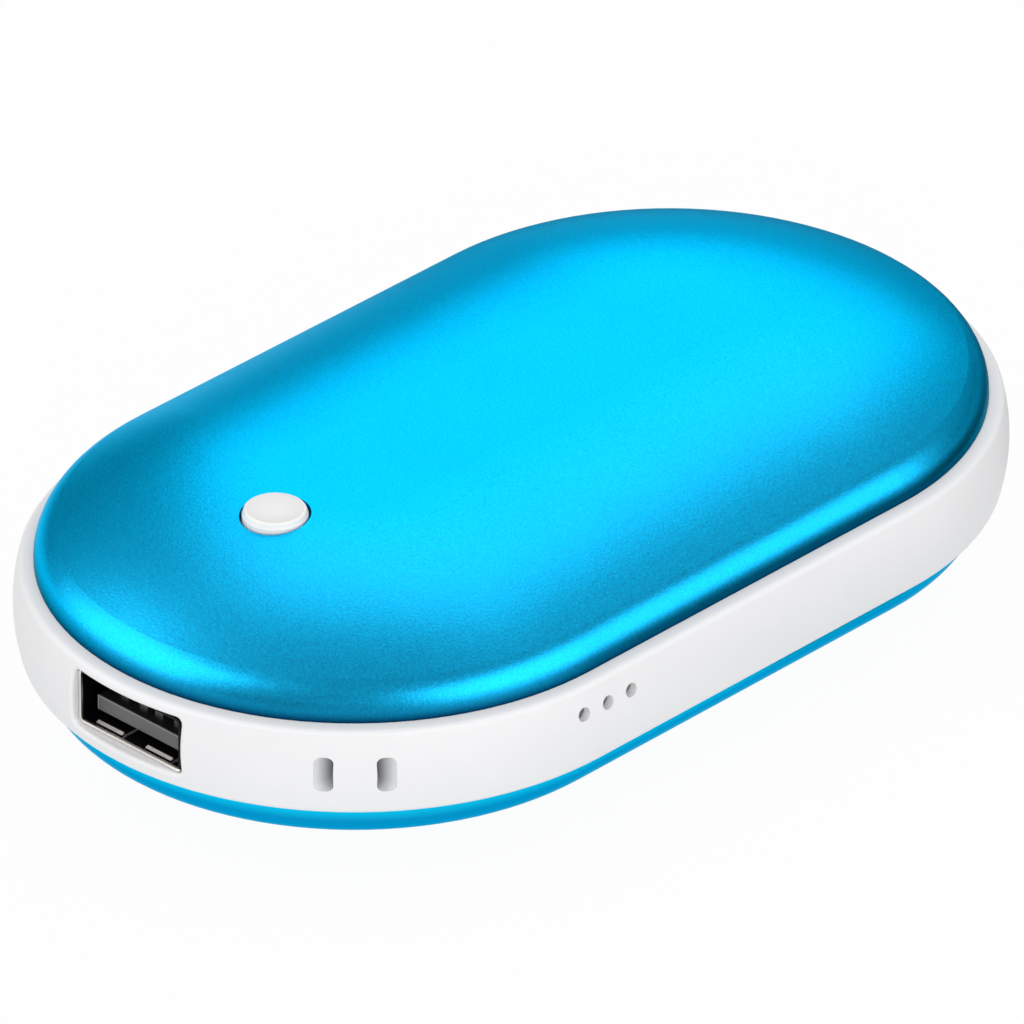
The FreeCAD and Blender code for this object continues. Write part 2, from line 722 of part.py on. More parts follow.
ear_outline = sketch_on(board, "inlet_ear_outline", "XY_Plane", level=board_under)
draw(ear_outline, rectangle(indicator_place, (ear_tip + ear_inside) / 2, INLET_EAR_WIDTH,
                            ear_tip - ear_inside))
pad(board, "inlet_ear", ear_outline, Sizes.board_thickness)
leg_side = Sizes.outlet_inner_width / 2 + Sizes.outlet_sheet / 2
board_holes = sketch_on(board, "board_holes_outline", "XY_Plane", level=board_under)
for sign in (-1, 1):
    draw_circle(board_holes, screw_place, screw_side * sign, Sizes.screw_diameter / 2 + SCREW_CLEARANCE)
    draw(board_holes, rectangle(outlet_mouth + LEG_PLACE, Sizes.outlet_offset + leg_side * sign,
                                LEG_SLOT_LENGTH, LEG_SLOT_WIDTH))
pocket(board, "board_holes", board_holes, Sizes.board_thickness, reverse=True)

# Screws: pan heads over the board and over the cradle's ears
HEAD_RADIUS = 1.9
HEAD_HEIGHT = 1.3
SCREW_LENGTH = 3.6
CRADLE_SCREW_LENGTH = 2.2
DRIVE_WIDTH = 0.6
DRIVE_DEPTH = 0.6
SHANK_SHARE = 0.76


def screw(name, x, y, seat, under):
    """A pan-head screw with a cross drive, seated at a level and reaching below it."""
    head = rod(f"{name}_head", x, y, seat, size_of(HEAD_RADIUS), HEAD_HEIGHT)
    shank = rod(f"{name}_shank", x, y, seat - under, Sizes.screw_diameter * SHANK_SHARE / 2, under)
    drive_level = seat + HEAD_HEIGHT - DRIVE_DEPTH
    drives = [centred_block(f"{name}_drive_{turn}", x, y, drive_level, length, width, DRIVE_DEPTH)
              for turn, length, width in ((1, HEAD_RADIUS, DRIVE_WIDTH), (2, DRIVE_WIDTH, HEAD_RADIUS))]
    return cut(name, join(f"{name}_blank", [head, shank]), drives)


board_screws = [screw(f"board_screw_{side}", screw_place, screw_side * sign, board_top,
                      Sizes.board_thickness + SCREW_LENGTH) for side, sign in ((1, -1), (2, 1))]
keep(group("board_screws", board_screws), "board_screws")


# USB-A outlet: it hangs under the board, so its tongue is in the lower half with the contacts on top
def put_at_outlet(body):
    place(body, outlet_mouth, Sizes.outlet_offset, outlet_level)


SHELL_CORNER = 0.6
FINGER_START = 0.3
FINGER_SIDE_GAP = 0.35
FINGER_END_GAP = 0.2
FINGER_KNEE = 0.4
FINGER_TIP_SHARE = 0.4
LEG_LENGTH = 2.0
LEG_RISE = 1.6
shell_corner = size_of(SHELL_CORNER)
socket_floor = Sizes.outlet_inner_height / 2
socket = keep(new_body("usb_a_shell"), "usb_a_shell")
tube_outline = sketch_on(socket, "outlet_tube_outline", "YZ_Plane")
draw(tube_outline, rounded_rectangle(size_of(0), size_of(0), socket_width, outlet_half_height * 2,
                                     shell_corner))
draw(tube_outline, rounded_rectangle(size_of(0), size_of(0), Sizes.outlet_inner_width,
                                     Sizes.outlet_inner_height, shell_corner - Sizes.outlet_sheet))
pad(socket, "outlet_tube", tube_outline, Sizes.outlet_length)
window_outline = sketch_on(socket, "finger_windows_outline", "XY_Plane")
window_length = Sizes.finger_length + FINGER_END_GAP
for sign in (-1, 1):
    draw(window_outline, rectangle(FINGER_START + window_length / 2, Sizes.finger_spread / 2 * sign,
                                   window_length, Sizes.finger_width + FINGER_SIDE_GAP * 2))
pocket(socket, "finger_windows", window_outline, outlet_half_height * 2 + CUT_PAST, both=True)
finger_tip = FINGER_START + FINGER_END_GAP
finger_root = FINGER_START + window_length
fingers = []
for wall, sign in (("floor", -1), ("roof", 1)):
    finger_outline = sketch_on(socket, f"{wall}_finger_outline", "XZ_Plane", level=Sizes.finger_spread / 2)
    face = socket_floor * sign
    depth = Sizes.outlet_sheet * sign
    rise = Sizes.finger_rise * sign
    tip_rise = rise * FINGER_TIP_SHARE
    draw(finger_outline, [
        (finger_root, face + depth),
        (finger_root, face),
        (finger_tip + FINGER_KNEE, face - rise),
        (finger_tip, face - tip_rise),
        (finger_tip, face - tip_rise + depth),
        (finger_tip + FINGER_KNEE, face - rise + depth),
    ])
    fingers.append(pad(socket, f"{wall}_finger", finger_outline, Sizes.finger_width, both=True))
mirror(socket, "other_fingers", fingers, "XZ_Plane")
leg_outline = sketch_on(socket, "leg_outline", "XZ_Plane", level=-Sizes.outlet_inner_width / 2)
draw(leg_outline, rectangle(size_of(LEG_PLACE), socket_floor + LEG_RISE / 2, LEG_LENGTH, LEG_RISE))
leg = pad(socket, "leg", leg_outline, Sizes.outlet_sheet, reverse=True)
mirror(socket, "other_leg", [leg], "XZ_Plane")
put_at_outlet(socket)

# Insulator: the moulding that closes the back of the outlet and carries the tongue
SIDE_GAP = 0.1
CONTACT_WIDTH = 1.0
CONTACT_THICKNESS = 0.25
CONTACT_PITCHES = (-3.5, -1.0, 1.0, 3.5)
TAIL_BEHIND = 0.15
SLOT_PAST = 0.01
tongue_top = Sizes.tongue_thickness / 2 - Sizes.tongue_drop
tongue_root = Sizes.tongue_setback + Sizes.tongue_length
insulator = keep(new_body("usb_a_insulator"), "usb_a_insulator")
tongue_outline = sketch_on(insulator, "tongue_outline", "YZ_Plane", level=Sizes.tongue_setback)
draw(tongue_outline, rectangle(size_of(0), -Sizes.tongue_drop, Sizes.tongue_width, Sizes.tongue_thickness))
pad(insulator, "tongue", tongue_outline, Sizes.tongue_length)
plug_outline = sketch_on(insulator, "plug_outline", "YZ_Plane", level=tongue_root)
draw(plug_outline, rounded_rectangle(size_of(0), size_of(0), Sizes.outlet_inner_width - SIDE_GAP * 2,
                                     Sizes.outlet_inner_height - SIDE_GAP * 2, shell_corner))
pad(insulator, "plug", plug_outline, Sizes.outlet_length - tongue_root)
slot_outline = sketch_on(insulator, "contact_slots_outline", "YZ_Plane", level=Sizes.outlet_length)
for pitch in CONTACT_PITCHES:
    draw(slot_outline, rectangle(size_of(pitch), tongue_top + CONTACT_THICKNESS / 2,
                                 CONTACT_WIDTH + SIDE_GAP, CONTACT_THICKNESS + SIDE_GAP))
pocket(insulator, "contact_slots", slot_outline, Sizes.outlet_length - tongue_root + SLOT_PAST)
put_at_outlet(insulator)

# Contacts: four strips along the tongue, through the insulator and up to pads under the board
contact_start = outlet_mouth + Sizes.tongue_setback + Sizes.contact_setback
contact_end = outlet_mouth + Sizes.outlet_length + TAIL_BEHIND
contacts = []
for number, pitch in enumerate(CONTACT_PITCHES, start=1):
    side = Sizes.outlet_offset + pitch - CONTACT_WIDTH / 2
    strip = block(f"contact_strip_{number}", contact_start, side, outlet_level + tongue_top,
                  contact_end - contact_start + CONTACT_THICKNESS, CONTACT_WIDTH, CONTACT_THICKNESS)
    tail = block(f"contact_tail_{number}", contact_end, side, outlet_level + tongue_top,
                 CONTACT_THICKNESS, CONTACT_WIDTH, outlet_half_height - tongue_top)
    contacts.append(join(f"contact_{number}", [strip, tail]))
keep(group("usb_a_contacts", contacts), "usb_a_contacts")

# Charging inlet: a small flared socket under the board's long ear, facing +Y
INLET_BEVEL = 1.0
INLET_TONGUE_WIDTH = 3.5
INLET_TONGUE_THICKNESS = 0.7
INLET_TONGUE_LENGTH = 3.6
INLET_BACK = 1.2
INLET_CONTACT_WIDTH = 0.35
INLET_CONTACT_THICKNESS = 0.15
INLET_CONTACT_PITCH = 0.65
INLET_CONTACT_SHORT = 0.3
inlet_mouth = outer - Sizes.inlet_recess
inlet_start = inlet_mouth - Sizes.inlet_length
inlet_hollow_height = Sizes.inlet_height - Sizes.inlet_sheet * 2
inlet_hollow_width = Sizes.inlet_width - Sizes.inlet_sheet * 2


def flared_outline(sketch, width, height, bevel):
    """The inlet's section: square towards the board, with the far corners bevelled."""
    wide, tall = size_of(width) / 2, size_of(height) / 2
    across = indicator_place
    draw(sketch, [
        (across - wide, inlet_level + tall),
        (across - wide, inlet_level - tall + bevel),
        (across - wide + bevel, inlet_level - tall),
        (across + wide - bevel, inlet_level - tall),
        (across + wide, inlet_level - tall + bevel),
        (across + wide, inlet_level + tall),
    ])


inlet = keep(new_body("micro_usb_shell"), "micro_usb_shell")
inlet_outline = sketch_on(inlet, "inlet_outline", "XZ_Plane", level=-inlet_start)
flared_outline(inlet_outline, Sizes.inlet_width, Sizes.inlet_height, INLET_BEVEL)
flared_outline(inlet_outline, inlet_hollow_width, inlet_hollow_height, INLET_BEVEL)
pad(inlet, "inlet_tube", inlet_outline, Sizes.inlet_length, reverse=True)

inlet_core = keep(new_body("micro_usb_insulator"), "micro_usb_insulator")
inlet_back_outline = sketch_on(inlet_core, "inlet_back_outline", "XZ_Plane", level=-inlet_start)
flared_outline(inlet_back_outline, inlet_hollow_width - SIDE_GAP, inlet_hollow_height - SIDE_GAP,
               INLET_BEVEL)
pad(inlet_core, "inlet_back", inlet_back_outline, INLET_BACK, reverse=True)
inlet_tongue_outline = sketch_on(inlet_core, "inlet_tongue_outline", "XZ_Plane", level=-inlet_start)
draw(inlet_tongue_outline, rectangle(indicator_place, inlet_level, INLET_TONGUE_WIDTH,
                                     INLET_TONGUE_THICKNESS))
pad(inlet_core, "inlet_tongue", inlet_tongue_outline, INLET_BACK + INLET_TONGUE_LENGTH, reverse=True)

inlet_contacts = [block(f"inlet_contact_{step + 3}",
                        indicator_place + INLET_CONTACT_PITCH * step - INLET_CONTACT_WIDTH / 2,
                        inlet_start + INLET_BACK,
                        inlet_level - INLET_TONGUE_THICKNESS / 2 - INLET_CONTACT_THICKNESS,
                        INLET_CONTACT_WIDTH, INLET_TONGUE_LENGTH - INLET_CONTACT_SHORT,
                        INLET_CONTACT_THICKNESS)
                  for step in (-2, -1, 0, 1, 2)]
keep(group("micro_usb_contacts", inlet_contacts), "micro_usb_contacts")

# Push button: a tapered cap with a dished top, a flange under the shell and a stem on the switch
STEM_RADIUS = 1.5
FLANGE_RADIUS = 4.4
FLANGE_THICKNESS = 0.9
FLANGE_GAP = 0.3
STEM_GAP = 0.05
land_level = upper_seam + crown_level(Sizes.button_reach, size_of(0))
flange_top = upper_seam + crown_level(Sizes.button_reach + FLANGE_RADIUS, Sizes.shell_wall) - FLANGE_GAP
flange_under = flange_top - FLANGE_THICKNESS
stem_under = board_top + Sizes.plunger_top + STEM_GAP
button_top = land_level + Sizes.button_stand
cap_radius = Sizes.button_diameter / 2
cap_top_radius = Sizes.button_top_diameter / 2
dish_reach = cap_top_radius - Sizes.button_edge
dish_radius = (dish_reach * dish_reach + Sizes.button_dish * Sizes.button_dish) / (Sizes.button_dish * 2)
button = keep(new_body("power_button"), "power_button")
button_section = sketch_on(button, "button_section", "XZ_Plane")
draw(button_section, [
    (0, stem_under),
    (STEM_RADIUS, stem_under),
    (STEM_RADIUS, flange_under),
    (FLANGE_RADIUS, flange_under),
    (FLANGE_RADIUS, flange_top),
    (cap_radius, flange_top),
    (cap_radius, land_level),
    (cap_top_radius, button_top - Sizes.button_edge, Sizes.button_edge, 1),
    (dish_reach, button_top, dish_radius, -1),
    (0, button_top - Sizes.button_dish),
])
revolve(button, "button_turning", button_section, "V_Axis")
place(button, button_axis, 0, 0)

# Tact switch: a square base with a round well, a snap dome, a plunger, a plate over it and four feet
WELL_RADIUS = 2.3
WELL_DEPTH = 2.2
PLATE_THICKNESS = 0.25
PLATE_HOLE_GAP = 0.2
PLUNGER_FOOT = 0.6
PLUNGER_GAP = 0.05
PLUNGER_FOOT_RADIUS = 2.0
DOME_THICKNESS = 0.15
DOME_RISE = 0.5
DOME_GAP = 0.1
DOME_SIDE_GAP = 0.3
FOOT_LENGTH = 1.4
FOOT_WIDTH = 0.7
FOOT_THICKNESS = 0.25
FOOT_SPREAD = 4.5
switch_top = board_top + Sizes.switch_height
well_floor = switch_top - WELL_DEPTH
plunger_radius = Sizes.plunger_diameter / 2
switch_blank = centred_block("switch_blank", button_axis, size_of(0), board_top, Sizes.switch_width,
                             Sizes.switch_width, Sizes.switch_height)
switch_well = rod("switch_well", button_axis, 0, well_floor, size_of(WELL_RADIUS), WELL_DEPTH + CUT_PAST)
keep(cut("switch_base", switch_blank, [switch_well]), "switch_base")
plate_blank = centred_block("plate_blank", button_axis, size_of(0), switch_top, Sizes.switch_width,
                            Sizes.switch_width, PLATE_THICKNESS)
plate_hole = rod("plate_hole", button_axis, 0, switch_top - CUT_PAST, plunger_radius + PLATE_HOLE_GAP,
                 CUT_PAST * 2)
keep(cut("switch_cover", plate_blank, [plate_hole]), "switch_cover")

plunger_foot_top = switch_top - PLUNGER_GAP
plunger_under = plunger_foot_top - PLUNGER_FOOT
plunger = keep(new_body("switch_plunger"), "switch_plunger")
plunger_section = sketch_on(plunger, "plunger_section", "XZ_Plane")
draw(plunger_section, [
    (0, plunger_under),
    (PLUNGER_FOOT_RADIUS, plunger_under),
    (PLUNGER_FOOT_RADIUS, plunger_foot_top),
    (plunger_radius, plunger_foot_top),
    (plunger_radius, board_top + Sizes.plunger_top),
    (0, board_top + Sizes.plunger_top),
])
revolve(plunger, "plunger_turning", plunger_section, "V_Axis")
place(plunger, button_axis, 0, 0)

dome_top = plunger_under - DOME_GAP
dome = keep(new_body("switch_dome"), "switch_dome")
dome_section = sketch_on(dome, "dome_section", "XZ_Plane")
dome_reach = WELL_RADIUS - DOME_SIDE_GAP
dome_radius = size_of((dome_reach ** 2 + DOME_RISE ** 2) / (2 * DOME_RISE))
draw(dome_section, [
    (0, dome_top - DOME_THICKNESS, dome_radius, -1),
    (dome_reach, dome_top - DOME_THICKNESS - DOME_RISE),
    (dome_reach, dome_top - DOME_RISE, dome_radius, 1),
    (0, dome_top),
])
revolve(dome, "dome_turning", dome_section, "V_Axis")
place(dome, button_axis, 0, 0)

feet = [centred_block(f"switch_foot_{number}", button_axis + (Sizes.switch_width + FOOT_LENGTH) / 2 * along,
                      size_of(FOOT_SPREAD / 2 * across), board_top, FOOT_LENGTH, FOOT_WIDTH, FOOT_THICKNESS)
        for number, (along, across) in enumerate(((-1, -1), (-1, 1), (1, -1), (1, 1)), start=1)]
keep(group("switch_terminals", feet), "switch_terminals")

# Board parts: a moulded inductor, two chips with their leads, capacitors and resistors. Their places are
# measured past the rounded end's centre and across the middle line.
INDUCTOR_WIDTH = 6.0
INDUCTOR_HEIGHT = 3.0
INDUCTOR_CORNER = 1.2
INDUCTOR_PLACE = (18.85, 10.5)
inductor = keep(new_body("boost_inductor"), "boost_inductor")
inductor_outline = sketch_on(inductor, "inductor_outline", "XY_Plane", level=board_top)
draw(inductor_outline, rounded_rectangle(end_centre - INDUCTOR_PLACE[0], size_of(INDUCTOR_PLACE[1]),
                                         INDUCTOR_WIDTH, INDUCTOR_WIDTH, size_of(INDUCTOR_CORNER)))
pad(inductor, "inductor_block", inductor_outline, INDUCTOR_HEIGHT)

CHIP_LENGTH = 4.9
CHIP_WIDTH = 3.9
CHIP_HEIGHT = 1.5
CHIP_LEAD = 1.0
CHIP_LEAD_WIDTH = 0.42
CHIP_LEAD_PITCH = 1.27
CHIP_LEAD_THICKNESS = 0.2
CHIP_LEAD_BITE = 0.2
CHIP_PLACES = {"charge_chip": (18.85, -11.5), "control_chip": (9.85, -13.5)}
CHIP_COLUMNS = (-1.5, -0.5, 0.5, 1.5)
lead_side = CHIP_WIDTH / 2 + CHIP_LEAD / 2
for name, (past, across) in CHIP_PLACES.items():
    x = end_centre - past
    case = centred_block(f"{name}_case", x, size_of(across), board_top, CHIP_LENGTH, CHIP_WIDTH, CHIP_HEIGHT)
    chip_leads = [centred_block(f"{name}_lead_{row}_{number}", x + CHIP_LEAD_PITCH * column,
                                size_of(across + lead_side * sign), board_top, CHIP_LEAD_WIDTH,
                                CHIP_LEAD + CHIP_LEAD_BITE, CHIP_LEAD_THICKNESS)
                  for row, sign in ((1, -1), (2, 1)) for number, column in enumerate(CHIP_COLUMNS, start=1)]
    keep(join(name, [case, *chip_leads]), name)

CAPACITOR = (3.2, 1.6, 1.4)
RESISTOR = (1.6, 0.8, 0.5)
CAPACITOR_PLACES = ((18.85, 4.0), (18.85, -3.5), (11.35, 10.5))
RESISTOR_PLACES = ((14.85, -14.0), (14.85, -16.0), (9.85, -18.0), (12.85, 14.5), (12.85, 16.5), (7.35, 8.5))
for name, case, places in (("board_capacitors", CAPACITOR, CAPACITOR_PLACES),
                           ("board_resistors", RESISTOR, RESISTOR_PLACES)):
    cases = [centred_block(f"{name}_{number}", end_centre - past, size_of(across), board_top, *case)
             for number, (past, across) in enumerate(places, start=1)]
    keep(group(name, cases), name)

# Cells: two round cells in sleeves, positive ends at the board, with a rolled groove near that end
GROOVE_PLACE = 3.0
GROOVE_WIDTH = 1.4
GROOVE_DEPTH = 0.5
CAP_RADIUS = 3.8
CAP_RISE = 0.4
for name, sign in (("cell_left", -1), ("cell_right", 1)):
    cell = keep(new_body(name), name)
    cell_section = sketch_on(cell, f"{name}_section", "XZ_Plane")
    draw(cell_section, [
        (0, 0),
        (0, CAP_RADIUS),
        (CAP_RISE, CAP_RADIUS),
        (CAP_RISE, cell_radius),
        (GROOVE_PLACE, cell_radius),
        (GROOVE_PLACE + GROOVE_WIDTH / 2, cell_radius - GROOVE_DEPTH),
        (GROOVE_PLACE + GROOVE_WIDTH, cell_radius),
        (Sizes.cell_length, cell_radius),
        (Sizes.cell_length, 0),
    ])
    revolve(cell, f"{name}_turning", cell_section, "H_Axis")
    place(cell, cell_start, cell_side * sign, middle)

RING_THICKNESS = 0.2
RING_INSET = 0.4
RING_EYE_GAP = 0.3
rings = []
for number, sign in ((1, -1), (2, 1)):
    side = cell_side * sign
    disc = rod(f"ring_disc_{number}", cell_start + CAP_RISE - RING_THICKNESS, side, middle,
               cell_radius - RING_INSET, RING_THICKNESS, axis="x")
    eye = rod(f"ring_eye_{number}", cell_start - CUT_PAST, side, middle, size_of(CAP_RADIUS + RING_EYE_GAP),
              CUT_PAST * 2, axis="x")
    rings.append(cut(f"ring_{number}", disc, [eye]))
keep(group("cell_insulators", rings), "cell_insulators")

# Nickel strips: one across the positive ends and one across the negative ends
STRIP_THICKNESS = 0.2
STRIP_HEIGHT = 6.0
STRIP_WIDTH = 26.0
for name, start in (("positive_strip", cell_start - STRIP_THICKNESS),
                    ("negative_strip", cell_start + Sizes.cell_length)):
    keep(block(name, start, -STRIP_WIDTH / 2, middle - STRIP_HEIGHT / 2, STRIP_THICKNESS, STRIP_WIDTH,
               STRIP_HEIGHT), name)

# Cell cradle: two troughs under a deck, with four ears that rest on the frame's posts
EAR_WIDTH = 6.4
EAR_TIP = 0.4
deck_top = upper_seam - Sizes.cradle_drop
cradle_start = cell_start + Sizes.cradle_inset
cradle_length = Sizes.cell_length - Sizes.cradle_short
trough_radius = cell_radius + Sizes.cradle_gap + Sizes.cradle_wall
deck_side = cell_side + trough_radius
deck = block("cradle_deck_plate", cradle_start, -deck_side, deck_under, cradle_length, deck_side * 2,
             Sizes.cradle_deck)
ears = [centred_block(f"cradle_ear_{number}", ear, size_of(0), deck_under, EAR_WIDTH,
                      (inside - EAR_TIP) * 2, Sizes.cradle_deck)
        for number, ear in enumerate(cradle_ears, start=1)]
troughs = [rod(f"trough_{number}", cradle_start, cell_side * sign, middle, trough_radius,
               cradle_length, axis="x") for number, sign in ((1, -1), (2, 1))]
beds = [rod(f"bed_{number}", cradle_start - CUT_PAST, cell_side * sign, middle,
            cell_radius + Sizes.cradle_gap, cradle_length + CUT_PAST * 2, axis="x")
        for number, sign in ((1, -1), (2, 1))]
open_top = block("cradle_open_top", cradle_start - CUT_PAST, -outer, deck_top, cradle_length + CUT_PAST * 2,
                 outer * 2, outer)
ear_holes = [rod(f"ear_hole_{number}_{side}", ear, ear_side * sign, deck_under - CUT_PAST,
                 Sizes.screw_diameter / 2 + SCREW_CLEARANCE, Sizes.cradle_deck + CUT_PAST * 2)
             for number, ear in enumerate(cradle_ears, start=1) for side, sign in ((1, -1), (2, 1))]
cradle_blank = join("cradle_blank", [deck, *ears, *troughs])
keep(cut("cell_cradle", cradle_blank, [*beds, open_top, *ear_holes]), "cell_cradle")

cradle_screws = [screw(f"cradle_screw_{number}_{side}", ear, ear_side * sign, deck_top,
                       Sizes.cradle_deck + CRADLE_SCREW_LENGTH)
                 for number, ear in enumerate(cradle_ears, start=1) for side, sign in ((1, -1), (2, 1))]
keep(group("cradle_screws", cradle_screws), "cradle_screws")

# Heater films bonded inside the shells, and foam pads that keep the heat off the cells
film_depth = Sizes.shell_wall + Sizes.bond_gap
foam_depth = film_depth + Sizes.film_thickness + Sizes.bond_gap
foam_start = end_centre + Sizes.foam_inset
foam_end = half_straight + Sizes.foam_overrun
FILM_OPENING_RADIUS = 5.6
upper_film = keep(crown_layer("upper_heater_film", film_depth, Sizes.film_thickness, Sizes.film_reach),
                  "upper_heater_film")
button_opening(upper_film, size_of(FILM_OPENING_RADIUS))
put_in_upper_shell(upper_film)
lower_film = keep(crown_layer("lower_heater_film", film_depth, Sizes.film_thickness, Sizes.film_reach),
                  "lower_heater_film")
put_in_lower_shell(lower_film)


def foam_pad(name, thickness):
    """A foam sheet behind the film, cut off square at both ends."""
    body = crown_layer(name, foam_depth, thickness, Sizes.foam_reach)
    trim = sketch_on(body, f"{name}_trim_outline", "XY_Plane")
    for cut_middle in (foam_start - outer, foam_end + outer):
        draw(trim, rectangle(cut_middle, size_of(0), outer * 2, outer * 2))
    pocket(body, f"{name}_trim", trim, Sizes.shell_rise * 2, reverse=True)
    return keep(body, name)


put_in_upper_shell(foam_pad("upper_foam_pad", Sizes.upper_foam_thickness))
put_in_lower_shell(foam_pad("lower_foam_pad", Sizes.lower_foam_thickness))


# Leads: each runs up or down from the board or a strip, bends once and runs on along the length
def lead(name, y, start_x, start_z, end_x, end_z):
    """One insulated lead: upright from its start, a bend, then level to its end."""
    body = new_body(name)
    path = sketch_on(body, f"{name}_path", "XZ_Plane", level=-size_of(y))
    upward = 1 if end_z.value > start_z.value else -1
    ahead = 1 if end_x.value > start_x.value else -1
    draw(path, [
        (start_x, start_z),
        (start_x, end_z - Sizes.lead_bend * upward, Sizes.lead_bend, -upward * ahead),
        (start_x + Sizes.lead_bend * ahead, end_z),
        (end_x, end_z),
    ], closed=False)
    ring = sketch_on(body, f"{name}_ring", "XY_Plane", level=start_z)
    draw_circle(ring, start_x, y, Sizes.lead_diameter / 2)
    pipe = body.newObject("PartDesign::AdditivePipe", f"{name}_pipe")
    pipe.Profile = ring
    pipe.Spine = (path, ["Edge1", "Edge2", "Edge3"])
    doc.recompute()
    return body


LEAD_TOUCH = 0.05
LEAD_RUN = 4.2
HEATER_SIDES = (11.0, 13.0)
SENSOR_SIDES = (-6.0, -8.0)
lead_start = end_centre - Sizes.lead_place
lead_end = lead_start + LEAD_RUN
lead_radius = Sizes.lead_diameter / 2
lead_on_board = board_top + lead_radius + LEAD_TOUCH
film_under = foam_depth - Sizes.bond_gap
lead_reach = root(size_of(max(HEATER_SIDES) ** 2) + Sizes.lead_place * Sizes.lead_place)
lead_depth = crown_level(lead_reach, film_under) - lead_radius - LEAD_TOUCH
upper_lead_level = upper_seam + lead_depth
lower_lead_level = lower_seam - lead_depth
for name, sides, start_level, end_level in (
        ("upper_heater_leads", HEATER_SIDES, board_top, upper_lead_level),
        ("lower_heater_leads", HEATER_SIDES, board_under, lower_lead_level),
        ("sensor_leads", SENSOR_SIDES, board_top, upper_lead_level)):
    keep(group(name, [lead(f"{name}_{number}", side, lead_start, start_level, lead_end, end_level)
                      for number, side in enumerate(sides, start=1)]), name)

# Thermistor: a small sensor under the film, at the end of its two leads
THERMISTOR = (2.4, 3.6, 1.2)
THERMISTOR_SIDE = -8.8
keep(block("thermistor", lead_end + LEAD_TOUCH, THERMISTOR_SIDE, upper_lead_level - THERMISTOR[2] / 2,
           *THERMISTOR), "thermistor")

# Battery leads: the red one is short, the black one comes back along the valley between the cells
RED_SIDE = 5.5
STRIP_TAB = 1.5
BLACK_LEAD_SHORT = 1.0
strip_lead_level = middle + STRIP_HEIGHT / 2 - STRIP_TAB
lead_off_strip = STRIP_THICKNESS + lead_radius + LEAD_TOUCH
keep(lead("battery_lead_red", RED_SIDE, cell_start - lead_off_strip, strip_lead_level, lead_start,
          lead_on_board), "battery_lead_red")
keep(lead("battery_lead_black", 0, cell_start + Sizes.cell_length + lead_off_strip, strip_lead_level,
          lead_start + BLACK_LEAD_SHORT, lead_on_board), "battery_lead_black")

doc.recompute()
for item in doc.Objects:
    if "Invalid" in item.State or "Error" in item.State:
        raise RuntimeError(f"{item.Name} did not build: {item.State}")
for piece in parts:
    if piece.Shape.isNull() or not piece.Shape.isValid() or piece.Shape.Volume <= 0:
        raise RuntimeError(f"{piece.Label} has no sound shape")

os.makedirs("parts", exist_ok=True)
for piece in parts:
    piece.Shape.exportStep(f"parts/{piece.Label}.step")
box = parts[0].Shape.BoundBox
print(len(parts), "parts written; top of the shell at", round(box.ZMax, 2))
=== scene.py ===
"""Looks for a rechargeable hand warmer: two anodised shells over a white frame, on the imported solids."""

import math

import bmesh
import bpy
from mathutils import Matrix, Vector


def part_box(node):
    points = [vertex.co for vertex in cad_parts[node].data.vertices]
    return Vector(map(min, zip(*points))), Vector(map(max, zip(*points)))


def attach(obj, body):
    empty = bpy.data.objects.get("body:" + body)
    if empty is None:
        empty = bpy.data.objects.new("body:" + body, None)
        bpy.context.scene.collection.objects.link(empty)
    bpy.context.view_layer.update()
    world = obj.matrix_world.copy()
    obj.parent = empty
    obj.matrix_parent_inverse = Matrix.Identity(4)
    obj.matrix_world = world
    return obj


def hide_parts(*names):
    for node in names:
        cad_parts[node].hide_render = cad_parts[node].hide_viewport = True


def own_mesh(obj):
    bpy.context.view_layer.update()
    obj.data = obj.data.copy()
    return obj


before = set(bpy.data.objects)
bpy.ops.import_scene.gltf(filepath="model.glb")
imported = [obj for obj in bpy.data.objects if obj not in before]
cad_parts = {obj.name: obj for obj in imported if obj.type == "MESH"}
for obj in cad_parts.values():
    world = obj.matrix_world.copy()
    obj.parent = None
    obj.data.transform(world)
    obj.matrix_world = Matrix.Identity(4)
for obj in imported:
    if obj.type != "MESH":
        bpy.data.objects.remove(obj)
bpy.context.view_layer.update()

# Middle frame
# The white frame carries every other piece. It is injection moulded in ABS with a fine satin skin. As in the
# photograph, its lanyard slots have painted light at their pale edge and painted shade that greys them
# inwards, and painted light makes the outlet's sill and the ledge under the lid paler than the wall.


class Tone:
    """A socket of a finish. Sums and products of tones add Math nodes to the finish's own node tree."""

    def __init__(self, tree, socket=None):
        self.tree = tree
        self.socket = socket

    def feed(self, socket, value):
        if isinstance(value, Tone):
            self.tree.links.new(value.socket, socket)
        else:
            socket.default_value = value

    def node(self, kind, settings, inputs, output=0):
        """Adds a node, makes its settings, feeds its sockets and returns the tone at one output."""
        made = self.tree.nodes.new(kind)
        for name, setting in settings.items():
            setattr(made, name, setting)
        for name, value in inputs.items():
            self.feed(made.inputs[name], value)
        return Tone(self.tree, made.outputs[output])

    def math(self, operation, first, second=0.0):
        return self.node("ShaderNodeMath", {"operation": operation}, {0: first, 1: second})

    def __add__(self, other):
        return self.math("ADD", self, other)

    def __sub__(self, other):
        return self.math("SUBTRACT", self, other)

    def __rsub__(self, other):
        return self.math("SUBTRACT", other, self)

    def __mul__(self, other):
        return self.math("MULTIPLY", self, other)

    def __gt__(self, other):
        return self.math("GREATER_THAN", self, other)

    def __lt__(self, other):
        return self.math("LESS_THAN", self, other)

    __radd__ = __add__
    __rmul__ = __mul__


def new_finish(name, constants):
    """A material, a tone to start its expressions from, and the sockets of its shader."""
    material = bpy.data.materials.new(name)
    material.use_nodes = True
    start = Tone(material.node_tree)
    sockets = material.node_tree.nodes["Principled BSDF"].inputs
    for socket, value in constants.items():
        start.feed(sockets[socket], value)
    return material, start, sockets


